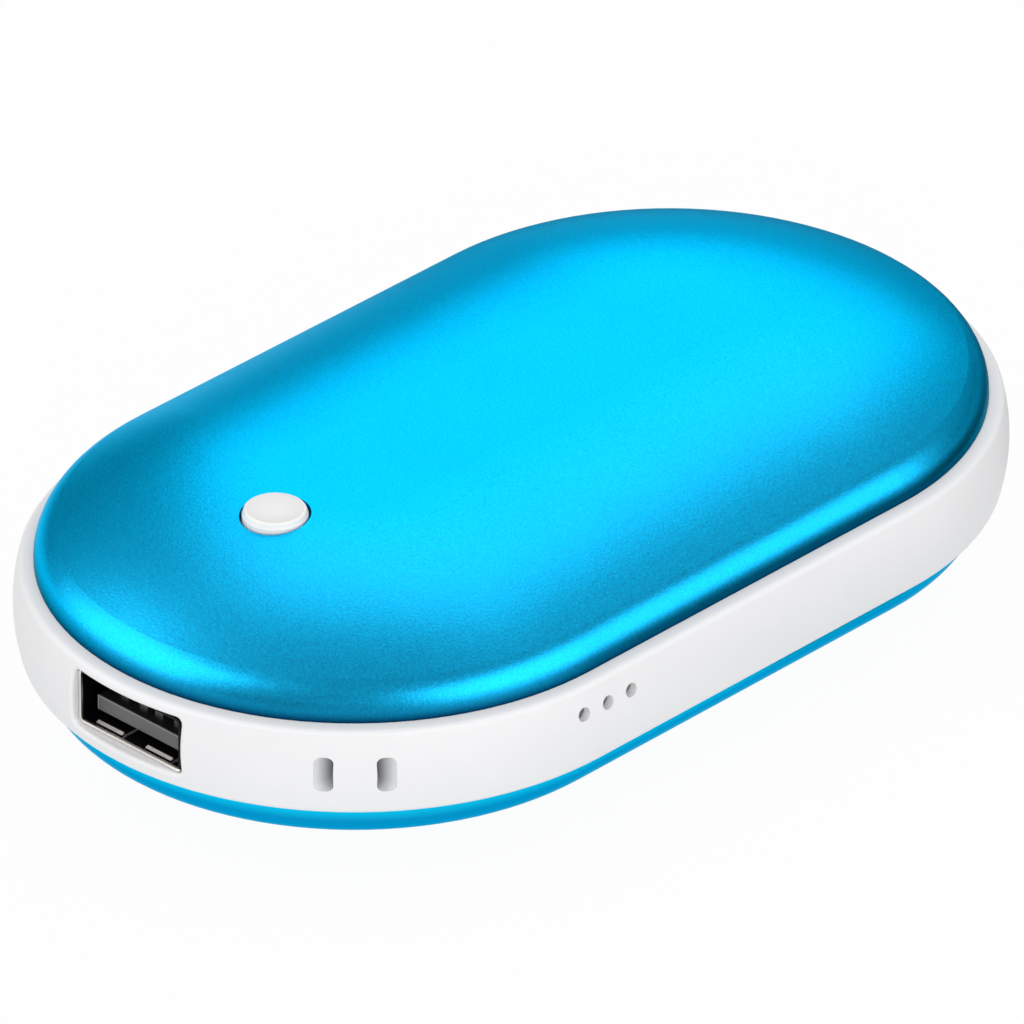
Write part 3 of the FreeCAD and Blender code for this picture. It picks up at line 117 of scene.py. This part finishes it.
def place_on(start, stretch=(1.0, 1.0, 1.0)):
    """Where a point lies on its piece, in metres, stretched for a grain that runs one way."""
    place = start.node("ShaderNodeTexCoord", {}, {}, "Object")
    return start.node("ShaderNodeVectorMath", {"operation": "MULTIPLY"}, {0: place, 1: stretch})


def axes_of(start, place):
    return [start.node("ShaderNodeSeparateXYZ", {}, {"Vector": place}, axis) for axis in "XYZ"]


def grain(start, size, detail=2.0, stretch=(1.0, 1.0, 1.0)):
    """Cloudy grain from 0 to 1, its clouds about size metres across."""
    sockets = {"Vector": place_on(start, stretch), "Scale": 1 / size, "Detail": detail}
    return start.node("ShaderNodeTexNoise", {}, sockets)


def rising(start, value, low, high):
    """0 up to where the value is low, 1 from where it is high, and an even climb between."""
    sockets = {"Value": value, "From Min": low, "From Max": high}
    return start.node("ShaderNodeMapRange", {}, sockets)


def spread(mask, low, high):
    """A number that is low where the mask is 0 and high where it is 1."""
    return low + mask * (high - low)


def between(start, mask, low, high):
    """One colour where the mask is 0 and another where it is 1."""
    low, high = (colour if isinstance(colour, Tone) else (*colour, 1.0) for colour in (low, high))
    return start.node("ShaderNodeMix", {"data_type": "RGBA"}, {0: mask, 6: low, 7: high}, 2)


def relief(start, height, depth, strength=1.0):
    """The normal of a skin whose hills stand depth metres high."""
    return start.node("ShaderNodeBump", {}, {"Height": height, "Distance": depth, "Strength": strength})


def dress(material, *names):
    for name in names:
        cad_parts[name].material_slots[0].material = material


seam_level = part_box("upper_shell")[0].z
lower_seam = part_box("lower_shell")[1].z
frame_middle = (seam_level + lower_seam) / 2
end_reach, wall_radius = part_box("middle_frame")[1].xy
half_straight = end_reach - wall_radius
WALL_SWELL = 33.0
SLOTS_X = -0.03
SLOTS_Y = -0.012
SLOTS_RISE = 0.0024
# The slot depth and slot grey below paint shade into the lanyard slots.
SLOT_SHADE_DEPTH = 0.0019
SLOT_EDGE = 0.0001
SLOT_SHADE_GREY = (0.18, 0.185, 0.19)
SILL_X = -0.05
SILL_LEVEL = 0.0113
SILL_DEPTH = 0.0006
# The ledge share and the pale white below paint light on the ledge under the lid, the outlet's sill and the
# lanyard slots.
LEDGE_LEVEL = 0.0177
LEDGE_LIGHT_SHARE = 0.35
WALL_WHITES = (0.83, 0.83, 0.84), (0.86, 0.86, 0.87)
PAINTED_LIGHT_WHITE = (0.95, 0.955, 0.965)
WALL_MOTTLE = 0.006
WALL_GRAIN = 0.00025
WALL_RELIEF = 0.000004, 0.6
WALL_ROUGH = 0.5, 0.6

frame_white, start, skin = new_finish("frame_white", {"IOR": 1.52})
mottle = grain(start, WALL_MOTTLE)
along, across, height = axes_of(start, place_on(start))
past = start.math("MAXIMUM", start.math("ABSOLUTE", along) - half_straight, 0.0)
radius = start.math("SQRT", past * past + across * across)
rise = height - frame_middle
inward = wall_radius - rise * rise * WALL_SWELL - radius
in_slots = (along < SLOTS_X) * (across < SLOTS_Y) * (rise * rise < SLOTS_RISE**2)
at_sill = (along < SILL_X) * (across > SLOTS_Y) * (height < SILL_LEVEL)
# Painted shade that deepens into the lanyard slots.
slot_shade = rising(start, inward, 0.0, SLOT_SHADE_DEPTH)
# Painted light on the ledge under the lid, on the outlet's sill and in the lanyard slots.
ledge_light = (height > LEDGE_LEVEL) * LEDGE_LIGHT_SHARE
painted_light = start.math(
    "MAXIMUM",
    rising(start, inward, 0.0, SILL_DEPTH) * at_sill,
    ledge_light + in_slots * (inward > SLOT_EDGE),
)
white = between(start, mottle, *WALL_WHITES)
white = between(start, painted_light, white, PAINTED_LIGHT_WHITE)
start.feed(skin["Base Color"], between(start, slot_shade * slot_shade * in_slots, white, SLOT_SHADE_GREY))
start.feed(skin["Roughness"], spread(mottle, *WALL_ROUGH))
start.feed(skin["Normal"], relief(start, grain(start, WALL_GRAIN), *WALL_RELIEF))
dress(frame_white, "middle_frame")

# Cells and cradle
# Two cells lie side by side in a grey moulded cradle, screwed to four posts of the frame. Each cell is shrink
# wrapped in PVC and has a paper ring on its positive end. Nickel strips are spot welded across the pair.


def mottled(name, constants, colours, rough, size, depth, detail=2.0, stretch=(1.0, 1.0, 1.0), strength=1.0):
    """A finish whose colour, roughness and skin all follow one cloudy grain."""
    material, start, skin = new_finish(name, constants)
    cloud = grain(start, size, detail, stretch)
    start.feed(skin["Base Color"], between(start, cloud, *colours))
    start.feed(skin["Roughness"], spread(cloud, *rough))
    start.feed(skin["Normal"], relief(start, cloud, depth, strength))
    return material


cell_sleeve = mottled(
    "cell_sleeve",
    {"IOR": 1.53, "Coat Weight": 0.2, "Coat Roughness": 0.2},
    colours=((0.03, 0.17, 0.15), (0.05, 0.23, 0.2)),
    rough=(0.25, 0.4),
    size=0.004,
    detail=3.0,
    stretch=(0.2, 1.0, 1.0),
    depth=0.00008,
    strength=0.5,
)
dress(cell_sleeve, "cell_left", "cell_right")

insulator_white = mottled(
    "insulator_white",
    {},
    colours=((0.62, 0.6, 0.55), (0.78, 0.77, 0.73)),
    rough=(0.7, 0.9),
    size=0.0006,
    detail=4.0,
    stretch=(1.0, 0.3, 1.0),
    depth=0.00002,
)
dress(insulator_white, "cell_insulators")

nickel = mottled(
    "nickel",
    {"Metallic": 1.0},
    colours=((0.6, 0.57, 0.52), (0.7, 0.67, 0.62)),
    rough=(0.22, 0.4),
    size=0.0005,
    detail=3.0,
    stretch=(1.0, 0.04, 1.0),
    depth=0.000004,
)
dress(nickel, "positive_strip", "negative_strip", "switch_terminals")

cradle_grey = mottled(
    "cradle_grey",
    {"IOR": 1.52},
    colours=((0.1, 0.1, 0.11), (0.14, 0.14, 0.15)),
    rough=(0.45, 0.6),
    size=0.0003,
    depth=0.00001,
)
dress(cradle_grey, "cell_cradle")

screw_steel = mottled(
    "screw_steel",
    {"Metallic": 1.0},
    colours=((0.5, 0.51, 0.53), (0.62, 0.63, 0.64)),
    rough=(0.25, 0.45),
    size=0.0004,
    detail=3.0,
    depth=0.000006,
)
dress(screw_steel, "cradle_screws", "board_screws")

# Leads
# Stranded copper in soft PVC sheaths, soldered at both ends: red and black from the cells, white to the
# two heater films and black to the temperature sensor.


def sheath(name, *colours):
    return mottled(name, {"IOR": 1.52}, colours, rough=(0.38, 0.58), size=0.0012, detail=3.0, depth=0.00001)


lead_red = sheath("lead_red", (0.42, 0.015, 0.01), (0.55, 0.03, 0.02))
dress(lead_red, "battery_lead_red")
lead_black = sheath("lead_black", (0.012, 0.012, 0.013), (0.03, 0.03, 0.032))
dress(lead_black, "battery_lead_black", "sensor_leads")
lead_white = sheath("lead_white", (0.66, 0.66, 0.64), (0.78, 0.78, 0.76))
dress(lead_white, "upper_heater_leads", "lower_heater_leads")

# Circuit board and its components
# A 1 mm glass-fibre board under green solder mask, screwed to the frame. The mask lies thicker over the
# copper, so the pour and its gaps show as lighter and darker green.

POUR_ISLANDS_PER_METRE = 450.0
POUR_GAP = 0.08
POUR_GREENS = (0.006, 0.075, 0.03), (0.012, 0.15, 0.055)
POUR_RELIEF = 0.00002, 0.4
MASK_GRAIN = 0.0003
MASK_ROUGH = 0.3, 0.45

board_green, start, skin = new_finish(
    "board_green", {"IOR": 1.5, "Coat Weight": 0.3, "Coat Roughness": 0.15}
)
islands = {"Vector": place_on(start), "Scale": POUR_ISLANDS_PER_METRE}
pour = start.node("ShaderNodeTexVoronoi", {"feature": "DISTANCE_TO_EDGE"}, islands) > POUR_GAP
start.feed(skin["Base Color"], between(start, pour, *POUR_GREENS))
start.feed(skin["Roughness"], spread(grain(start, MASK_GRAIN), *MASK_ROUGH))
start.feed(skin["Normal"], relief(start, pour, *POUR_RELIEF))
dress(board_green, "circuit_board")

component_black = mottled(
    "component_black",
    {"IOR": 1.55},
    colours=((0.01, 0.01, 0.011), (0.035, 0.035, 0.036)),
    rough=(0.45, 0.7),
    size=0.00012,
    detail=4.0,
    depth=0.000008,
)
dress(component_black, "boost_inductor", "charge_chip", "control_chip", "board_resistors")
dress(component_black, "switch_base", "switch_plunger", "thermistor")

component_tan = mottled(
    "component_tan",
    {"IOR": 1.6},
    colours=((0.36, 0.24, 0.13), (0.47, 0.33, 0.2)),
    rough=(0.4, 0.6),
    size=0.0002,
    detail=4.0,
    depth=0.000006,
)
dress(component_tan, "board_capacitors")

# Snap dome
# A dome pressed from plated spring sheet sits under the switch's plunger. It snaps flatter as the button goes
# down. Here it is turned as a mesh of its own and attached to the housing.

DOME_SHEET = 0.00015
DOME_RINGS = 8
DOME_SECTORS = 48
DOME_WELD = 1e-7
DOME_CREASE = math.radians(40)

lowest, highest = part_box("switch_dome")
dome_reach = (highest.x - lowest.x) / 2
dome_rise = highest.z - lowest.z - DOME_SHEET
dome_curve = (dome_reach * dome_reach + dome_rise * dome_rise) / (dome_rise * 2)
dome_axis = ((lowest.x + highest.x) / 2, (lowest.y + highest.y) / 2, lowest.z)
turned = bmesh.new()
section = []
under_side = (highest.z - DOME_SHEET, range(DOME_RINGS + 1))
upper_side = (highest.z, range(DOME_RINGS, -1, -1))
for top, rings in (under_side, upper_side):
    for ring in rings:
        out = dome_reach * ring / DOME_RINGS
        fall = dome_curve - math.sqrt(dome_curve * dome_curve - out * out)
        section.append(turned.verts.new((dome_axis[0] + out, dome_axis[1], top - fall)))
edges = [turned.edges.new(ends) for ends in zip(section, section[1:])]
bmesh.ops.spin(
    turned, geom=section + edges, cent=dome_axis, axis=(0.0, 0.0, 1.0), angle=math.tau, steps=DOME_SECTORS
)
bmesh.ops.remove_doubles(turned, verts=turned.verts, dist=DOME_WELD)
bmesh.ops.recalc_face_normals(turned, faces=turned.faces)
dome_mesh = bpy.data.meshes.new("snap_dome")
turned.to_mesh(dome_mesh)
turned.free()
dome_mesh.shade_smooth()
dome_mesh.set_sharp_from_angle(angle=DOME_CREASE)
dome_mesh.materials.append(nickel)
snap_dome = bpy.data.objects.new("snap_dome", dome_mesh)
bpy.context.scene.collection.objects.link(snap_dome)
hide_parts("switch_dome")
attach(snap_dome, "housing")
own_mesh(snap_dome)

# Sockets
# The outlet and the charging inlet are tubes folded from tinned steel sheet round a glass-filled tongue. The
# outlet's contacts are tinned and the inlet's gold-flashed. As in the photograph, painted highlights make the
# outlet's lip and the ridges of its spring fingers bright and painted shade makes its walls dark, and its
# grey tongue has painted highlights on its edges in front and is painted dark with shade behind.

ROLLED_SIZE = 0.0003
ROLLED_DETAIL = 3.0
ROLLED_STRETCH = (0.05, 1.0, 1.0)
ROLLED_RELIEF = 0.000004

socket_steel = mottled(
    "socket_steel",
    {"Metallic": 1.0},
    colours=((0.5, 0.49, 0.47), (0.64, 0.63, 0.61)),
    rough=(0.24, 0.4),
    size=ROLLED_SIZE,
    detail=ROLLED_DETAIL,
    stretch=ROLLED_STRETCH,
    depth=ROLLED_RELIEF,
)
dress(socket_steel, "micro_usb_shell", "switch_cover", "usb_a_contacts")

lowest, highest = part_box("usb_a_insulator")
outlet_mouth = (lowest + highest) / 2
outlet_mouth.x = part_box("usb_a_shell")[0].x
LIP_DEPTH = 0.00025
LIP_SIDE = 0.0063
FLOOR_DROP = 0.0025
FINGER_SPAN = 0.0055
RIDGE_START = 0.0004
RIDGE_END = 0.0008
RIDGE_HAZE = 0.25
STEEL_HIGHLIGHTS = (0.86, 0.82, 0.77), (0.96, 0.92, 0.87)
OUTLET_SHADE = (0.012, 0.012, 0.012)
SHADE_TO_HIGHLIGHT_ROUGH = 0.45, 0.25
ROLLED_ROUGH = 0.16

outlet_steel, start, skin = new_finish("outlet_steel", {})
rolling = grain(start, ROLLED_SIZE, ROLLED_DETAIL, ROLLED_STRETCH)
from_mouth = {0: place_on(start), 1: outlet_mouth}
behind = start.node("ShaderNodeVectorMath", {"operation": "SUBTRACT"}, from_mouth)
depth, across, up = axes_of(start, behind)
on_rim = start.math("MAXIMUM", across > LIP_SIDE, 1 - (up > -FLOOR_DROP))
# Painted highlights on the lip along its floor and one side, and on the ridges of the spring fingers, which
# are also made less metallic.
lip_highlight = (1 - (depth > LIP_DEPTH)) * on_rim
on_fingers = (up * up < FLOOR_DROP**2) * (across * across < FINGER_SPAN**2)
ridge_highlight = on_fingers * (depth > RIDGE_START) * (1 - (depth > RIDGE_END))
painted_highlight = start.math("MAXIMUM", lip_highlight, ridge_highlight)
steel_highlight = between(start, rolling, *STEEL_HIGHLIGHTS)
# Outside the painted highlights the outlet's steel is painted dark with shade.
start.feed(skin["Base Color"], between(start, painted_highlight, OUTLET_SHADE, steel_highlight))
start.feed(skin["Metallic"], 1 - ridge_highlight * RIDGE_HAZE)
start.feed(skin["Roughness"], spread(painted_highlight, *SHADE_TO_HIGHLIGHT_ROUGH) + rolling * ROLLED_ROUGH)
start.feed(skin["Normal"], relief(start, rolling, ROLLED_RELIEF))
dress(outlet_steel, "usb_a_shell")

TONGUE_EDGE = 0.00013
EDGE_HIGHLIGHT_SHARE = 0.8
FRONT_GREYS = (0.085, 0.086, 0.089), (0.24, 0.241, 0.245)
INSULATOR_BLACK_AND_SHADE = (0.012, 0.012, 0.013)
FIBRE_SIZE = 0.0002
FIBRE_DETAIL = 3.0
FIBRE_RELIEF = 0.000006
FIBRE_ROUGH = 0.35, 0.55

tongue_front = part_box("usb_a_insulator")[0].x + TONGUE_EDGE
tongue_points = [vertex.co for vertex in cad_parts["usb_a_insulator"].data.vertices]
tongue_face = [point for point in tongue_points if point.x < tongue_front]
tongue_side = max(point.y for point in tongue_face) - TONGUE_EDGE
tongue_top = max(point.z for point in tongue_face) - TONGUE_EDGE
socket_grey, start, skin = new_finish("socket_grey", {"IOR": 1.55})
fibre = grain(start, FIBRE_SIZE, FIBRE_DETAIL, (0.3, 1.0, 1.0))
along, across, height = axes_of(start, place_on(start))
# Painted highlight along the top and side edges of the tongue's front face.
edge_highlight = start.math("MAXIMUM", height > tongue_top, across > tongue_side)
front = between(start, edge_highlight * EDGE_HIGHLIGHT_SHARE + fibre * (1 - EDGE_HIGHLIGHT_SHARE), *FRONT_GREYS)
# Behind its front face the tongue is painted black as shade; the same black is the micro USB insulator's own
# colour.
start.feed(skin["Base Color"], between(start, along > tongue_front, front, INSULATOR_BLACK_AND_SHADE))
start.feed(skin["Roughness"], spread(fibre, *FIBRE_ROUGH))
start.feed(skin["Normal"], relief(start, fibre, FIBRE_RELIEF))
dress(socket_grey, "usb_a_insulator")

socket_black = mottled(
    "socket_black",
    {"IOR": 1.55},
    colours=(INSULATOR_BLACK_AND_SHADE, (0.03, 0.03, 0.031)),
    rough=FIBRE_ROUGH,
    size=FIBRE_SIZE,
    detail=FIBRE_DETAIL,
    stretch=(1.0, 0.3, 1.0),
    depth=FIBRE_RELIEF,
)
dress(socket_black, "micro_usb_insulator")

contact_gold = mottled(
    "contact_gold",
    {"Metallic": 1.0},
    colours=((0.72, 0.46, 0.14), (0.85, 0.6, 0.24)),
    rough=(0.2, 0.35),
    size=0.0004,
    stretch=(0.1, 1.0, 1.0),
    depth=0.000003,
)
dress(contact_gold, "micro_usb_contacts")

# Indicators
# Three side-firing lamps on the board shine into one clear acrylic guide, whose pins stand behind the holes
# in the long side of the frame.

guide_clear = mottled(
    "guide_clear",
    {"IOR": 1.49, "Transmission Weight": 0.6},
    colours=((0.34, 0.345, 0.35), (0.42, 0.425, 0.43)),
    rough=(0.2, 0.35),
    size=0.0005,
    depth=0.000006,
)
dress(guide_clear, "light_guide")

led_amber = mottled(
    "led_amber",
    {"IOR": 1.53, "Coat Weight": 0.4},
    colours=((0.7, 0.36, 0.05), (0.85, 0.52, 0.12)),
    rough=(0.3, 0.5),
    size=0.0002,
    detail=3.0,
    depth=0.000005,
)
dress(led_amber, "indicator_leds")

# Heater films and pads
# Amber polyimide films with an etched track lie against the inside of each shell, pressed there by pads of
# grey closed-cell foam.

TRACK_BANDS = 75.0
TRACK_SHARE = 0.45
TRACK_RELIEF = 0.00002, 0.5
TRACK_METAL = 0.4
FILM_ROUGH = 0.3, 0.42
FILM_COLOURS = (0.42, 0.16, 0.02), (0.3, 0.15, 0.07)

film_amber, start, skin = new_finish("film_amber", {"IOR": 1.6, "Coat Weight": 0.3, "Coat Roughness": 0.2})
bands = {"Vector": place_on(start), "Scale": TRACK_BANDS}
track = start.node("ShaderNodeTexWave", {"bands_direction": "Y"}, bands, "Fac") > TRACK_SHARE
start.feed(skin["Base Color"], between(start, track, *FILM_COLOURS))
start.feed(skin["Roughness"], spread(track, *FILM_ROUGH))
start.feed(skin["Metallic"], track * TRACK_METAL)
start.feed(skin["Normal"], relief(start, track, *TRACK_RELIEF))
dress(film_amber, "upper_heater_film", "lower_heater_film")

PORES_PER_METRE = 1800.0
PORE_DEPTH = 0.00015
FOAM_ROUGH = 0.8, 0.95
FOAM_GREYS = (0.06, 0.06, 0.065), (0.16, 0.16, 0.17)

foam_grey, start, skin = new_finish("foam_grey", {})
pores = start.node("ShaderNodeTexVoronoi", {}, {"Vector": place_on(start), "Scale": PORES_PER_METRE})
start.feed(skin["Base Color"], between(start, pores, *FOAM_GREYS))
start.feed(skin["Roughness"], spread(pores, *FOAM_ROUGH))
start.feed(skin["Normal"], relief(start, pores, PORE_DEPTH))
dress(foam_grey, "upper_foam_pad", "lower_foam_pad")

# Shells
# Two shells pressed from 0.8 mm aluminium sheet, bead blasted to an even frost, dyed blue and sealed, and
# bonded over the lips of the frame. As in the photograph, painted shade darkens the lid at its rim, and the
# lower shell has a calmer speckle, painted shade that makes it a deeper blue, and a painted highlight along
# its seam.

# The rim depth, share and blue paint shade on the lid along its rim.
RIM_SHADE_DEPTH = 0.0019
RIM_SHADE_SHARE = 0.97
SEAM_HIGHLIGHT_DEPTH = 0.0016
LOWER_CALM = 0.75
LOWER_SHADE_SHARE = 0.4
DYE_SIZE = 0.012
FROST_SIZE = 0.00022
FROST_SHARE = 0.9
FROST_CONTRAST = 0.3, 0.7
FROST_RELIEF = 0.000028, 0.6
FROST_ROUGH = 0.29, 0.39
DYED_BLUES = (0.008, 0.36, 0.68), (0.008, 0.515, 0.91)
LOWER_SHADE_BLUE = (0.004, 0.2, 0.48)
SEAM_HIGHLIGHT_BLUE = (0.001, 0.68, 1.0)
RIM_SHADE_BLUE = (0.0, 0.01, 0.06)

shell_blue, start, skin = new_finish(
    "shell_blue", {"Metallic": 1.0, "Specular Tint": (0.3, 0.85, 1.0, 1.0)}
)
dye = grain(start, DYE_SIZE)
frost = grain(start, FROST_SIZE)
height = axes_of(start, place_on(start))[2]
from_rim = start.math("ABSOLUTE", height - seam_level)
# Painted shade on the lid, darkest at the seam.
rim_shade = (1 - rising(start, from_rim, 0.0, RIM_SHADE_DEPTH)) * RIM_SHADE_SHARE
below = height < frame_middle
# Painted highlight on the lower shell along its seam.
painted_light = rising(start, height, lower_seam - SEAM_HIGHLIGHT_DEPTH, lower_seam) * below
speckle = rising(start, frost * FROST_SHARE + dye * (1 - FROST_SHARE), *FROST_CONTRAST)
blue = between(start, speckle * (1 - below * LOWER_CALM), *DYED_BLUES)
# Painted shade that makes the whole lower shell a deeper blue.
blue = between(start, below * LOWER_SHADE_SHARE, blue, LOWER_SHADE_BLUE)
blue = between(start, painted_light, blue, SEAM_HIGHLIGHT_BLUE)
start.feed(skin["Base Color"], between(start, rim_shade, blue, RIM_SHADE_BLUE))
start.feed(skin["Roughness"], spread(frost, *FROST_ROUGH))
start.feed(skin["Normal"], relief(start, frost, *FROST_RELIEF))
dress(shell_blue, "upper_shell", "lower_shell")

# Power button
# A white moulded cap that slides in a round hole of the upper shell and works the switch on the board. It is
# glossier than the frame. As in the photograph, painted shade greys its dished top outwards and painted light
# makes its side paler.

DISH_REACH = 0.00268
DISH_SHADE_SHARE = 0.8
DISH_SHADE_WHITES = (0.9, 0.9, 0.9), (0.79, 0.79, 0.79)
SIDE_LIGHT_WHITE = (0.97, 0.94, 0.91)
CAP_MOTTLE = 0.003
CAP_GRAIN = 0.0004
CAP_RELIEF = 0.000003, 0.5
CAP_ROUGH = 0.2, 0.3

button_white, start, skin = new_finish("button_white", {"IOR": 1.52, "Specular IOR Level": 0.3})
mottle = grain(start, CAP_MOTTLE)
lowest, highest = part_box("power_button")
from_axis = {0: place_on(start), 1: (lowest + highest) / 2}
off_axis = start.node("ShaderNodeVectorMath", {"operation": "SUBTRACT"}, from_axis)
along, across = axes_of(start, off_axis)[:2]
outward = (along * along + across * across) * DISH_REACH**-2
# Painted shade that greys the dished top outwards.
white = between(start, outward * DISH_SHADE_SHARE + mottle * (1 - DISH_SHADE_SHARE), *DISH_SHADE_WHITES)
# Painted light that makes the cap's side paler.
start.feed(skin["Base Color"], between(start, outward > 1.0, white, SIDE_LIGHT_WHITE))
start.feed(skin["Roughness"], spread(mottle, *CAP_ROUGH))
start.feed(skin["Normal"], relief(start, grain(start, CAP_GRAIN), *CAP_RELIEF))
dress(button_white, "power_button")

# Studio
# A white table and a sky that the metal mirrors dimmer than the camera sees it. Soft lights behind, at both
# sides and in front are there for the metal to mirror, and a plain low fill lights the rest. Two black flags
# on the table at the right, seen only by mirrored rays, keep the lid's rim dark there.

WHITE = (1.0, 1.0, 1.0, 1.0)
TABLE_REACH = 4.0
TABLE_WHITE = 0.96
TABLE_SKIN = (0.9, 0.9, 0.9, 1.0)
SKY_ON_SKIN = 0.85
SKY_AT_HORIZON = 0.17
SKY_OVERHEAD = 0.45
SKY_CLIMB = 0.6
FLAGS = {"end_flag": (0.06, 0.38, -0.07, 0.13), "side_flag": (0.01, 0.3, -0.28, -0.035)}
FLAG_BLACK = (0.01, 0.01, 0.01, 1.0)
FLAG_LEVEL = 0.0004


def rays_of(start):
    """Tones that are 1 for rays from the camera, for mirrored rays and for rays through clear pieces."""
    kinds = ("Is Camera Ray", "Is Glossy Ray", "Is Transmission Ray")
    return [start.node("ShaderNodeLightPath", {}, {}, kind) for kind in kinds]


bpy.ops.mesh.primitive_plane_add(size=TABLE_REACH * 2)
table = bpy.context.object
table.name = "table"
table_white, start, _ = new_finish("table_white", {})
table.data.materials.append(table_white)
direct, mirrored, through = rays_of(start)
lit = start.node("ShaderNodeBsdfDiffuse", {}, {"Color": TABLE_SKIN})
plain = start.node("ShaderNodeEmission", {}, {"Color": WHITE, "Strength": 1.0})
seen = (direct + mirrored + through) * TABLE_WHITE
surface = start.node("ShaderNodeMixShader", {}, {0: seen, 1: lit, 2: plain})
start.feed(table_white.node_tree.nodes["Material Output"].inputs["Surface"], surface)

flag_black, *_ = new_finish("flag_black", {"Base Color": FLAG_BLACK})
for name, (left, right, near, far) in FLAGS.items():
    bpy.ops.mesh.primitive_plane_add(size=1.0, location=((left + right) / 2, (near + far) / 2, FLAG_LEVEL))
    flag = bpy.context.object
    flag.name = name
    flag.scale = (right - left, far - near, 1.0)
    flag.data.materials.append(flag_black)
    for kind in ("camera", "diffuse", "shadow", "transmission"):
        setattr(flag, f"visible_{kind}", False)

world = bpy.data.worlds.new("studio")
world.use_nodes = True
start = Tone(world.node_tree)
direct, mirrored, through = rays_of(start)
heading = start.node("ShaderNodeTexCoord", {}, {}, "Generated")
climb = {
    "Value": axes_of(start, heading)[2],
    "From Max": SKY_CLIMB,
    "To Min": SKY_AT_HORIZON,
    "To Max": SKY_OVERHEAD,
}
dimmed = start.node("ShaderNodeMapRange", {"interpolation_type": "SMOOTHSTEP"}, climb)
on_skin = 1 - (direct + mirrored + through)
strength = direct + through + mirrored * dimmed + on_skin * SKY_ON_SKIN
background = world.node_tree.nodes["Background"].inputs
start.feed(background["Color"], WHITE)
start.feed(background["Strength"], strength)
bpy.context.scene.world = world


def stand(name, made, turn, tilt, distance):
    """Stands a lamp or camera so that it faces the object, turned from +X and tilted up, in degrees."""
    turn, tilt = math.radians(turn), math.radians(tilt)
    away = Vector((math.cos(turn) * math.cos(tilt), math.sin(turn) * math.cos(tilt), math.sin(tilt)))
    holder = bpy.data.objects.new(name, made)
    holder.location = Vector((0.0, 0.0, seam_level)) + away * distance
    holder.rotation_euler = away.to_track_quat("Z", "Y").to_euler()
    bpy.context.scene.collection.objects.link(holder)
    return holder


def softbox(name, turn, tilt, distance, wide, tall, level):
    """A rectangular light at a level as a mirror shows it."""
    lamp = bpy.data.lights.new(name, "AREA")
    lamp.shape = "RECTANGLE"
    lamp.size = wide
    lamp.size_y = tall
    lamp.energy = level * math.pi * wide * tall
    return stand(name, lamp, turn, tilt, distance)


for mirrored_light in (
    softbox("back_light", turn=36.0, tilt=44.0, distance=0.9, wide=0.68, tall=1.04, level=1.3),
    softbox("left_light", turn=138.0, tilt=29.5, distance=0.9, wide=1.06, tall=0.98, level=1.92),
    softbox("right_light", turn=-76.0, tilt=23.0, distance=0.9, wide=1.2, tall=0.78, level=2.0),
    softbox("front_light", turn=-130.0, tilt=8.0, distance=1.8, wide=1.6, tall=0.9, level=0.26),
):
    mirrored_light.visible_diffuse = False
fill = softbox("fill", turn=-135.0, tilt=15.0, distance=1.8, wide=1.6, tall=0.8, level=2.0)
fill.visible_glossy = False

# Camera
# A long lens at the outlet's end, a little above, fitted to the object's outline in the photograph. Its shift
# puts the object where the photograph has it.

PIXELS = 1024
FOCUS_PIXELS = 16491.0
MIDDLE_PIXEL = (515.34, 470.74)
SENSOR_WIDTH = 36.0

camera = bpy.data.cameras.new("camera")
camera.sensor_width = SENSOR_WIDTH
camera.lens = FOCUS_PIXELS / PIXELS * SENSOR_WIDTH
camera.shift_x = (PIXELS / 2 - MIDDLE_PIXEL[0]) / PIXELS
camera.shift_y = (MIDDLE_PIXEL[1] - PIXELS / 2) / PIXELS
bpy.context.scene.camera = stand("camera", camera, turn=-135.81, tilt=30.72, distance=1.544)
bpy.context.scene.view_settings.view_transform = "Standard"
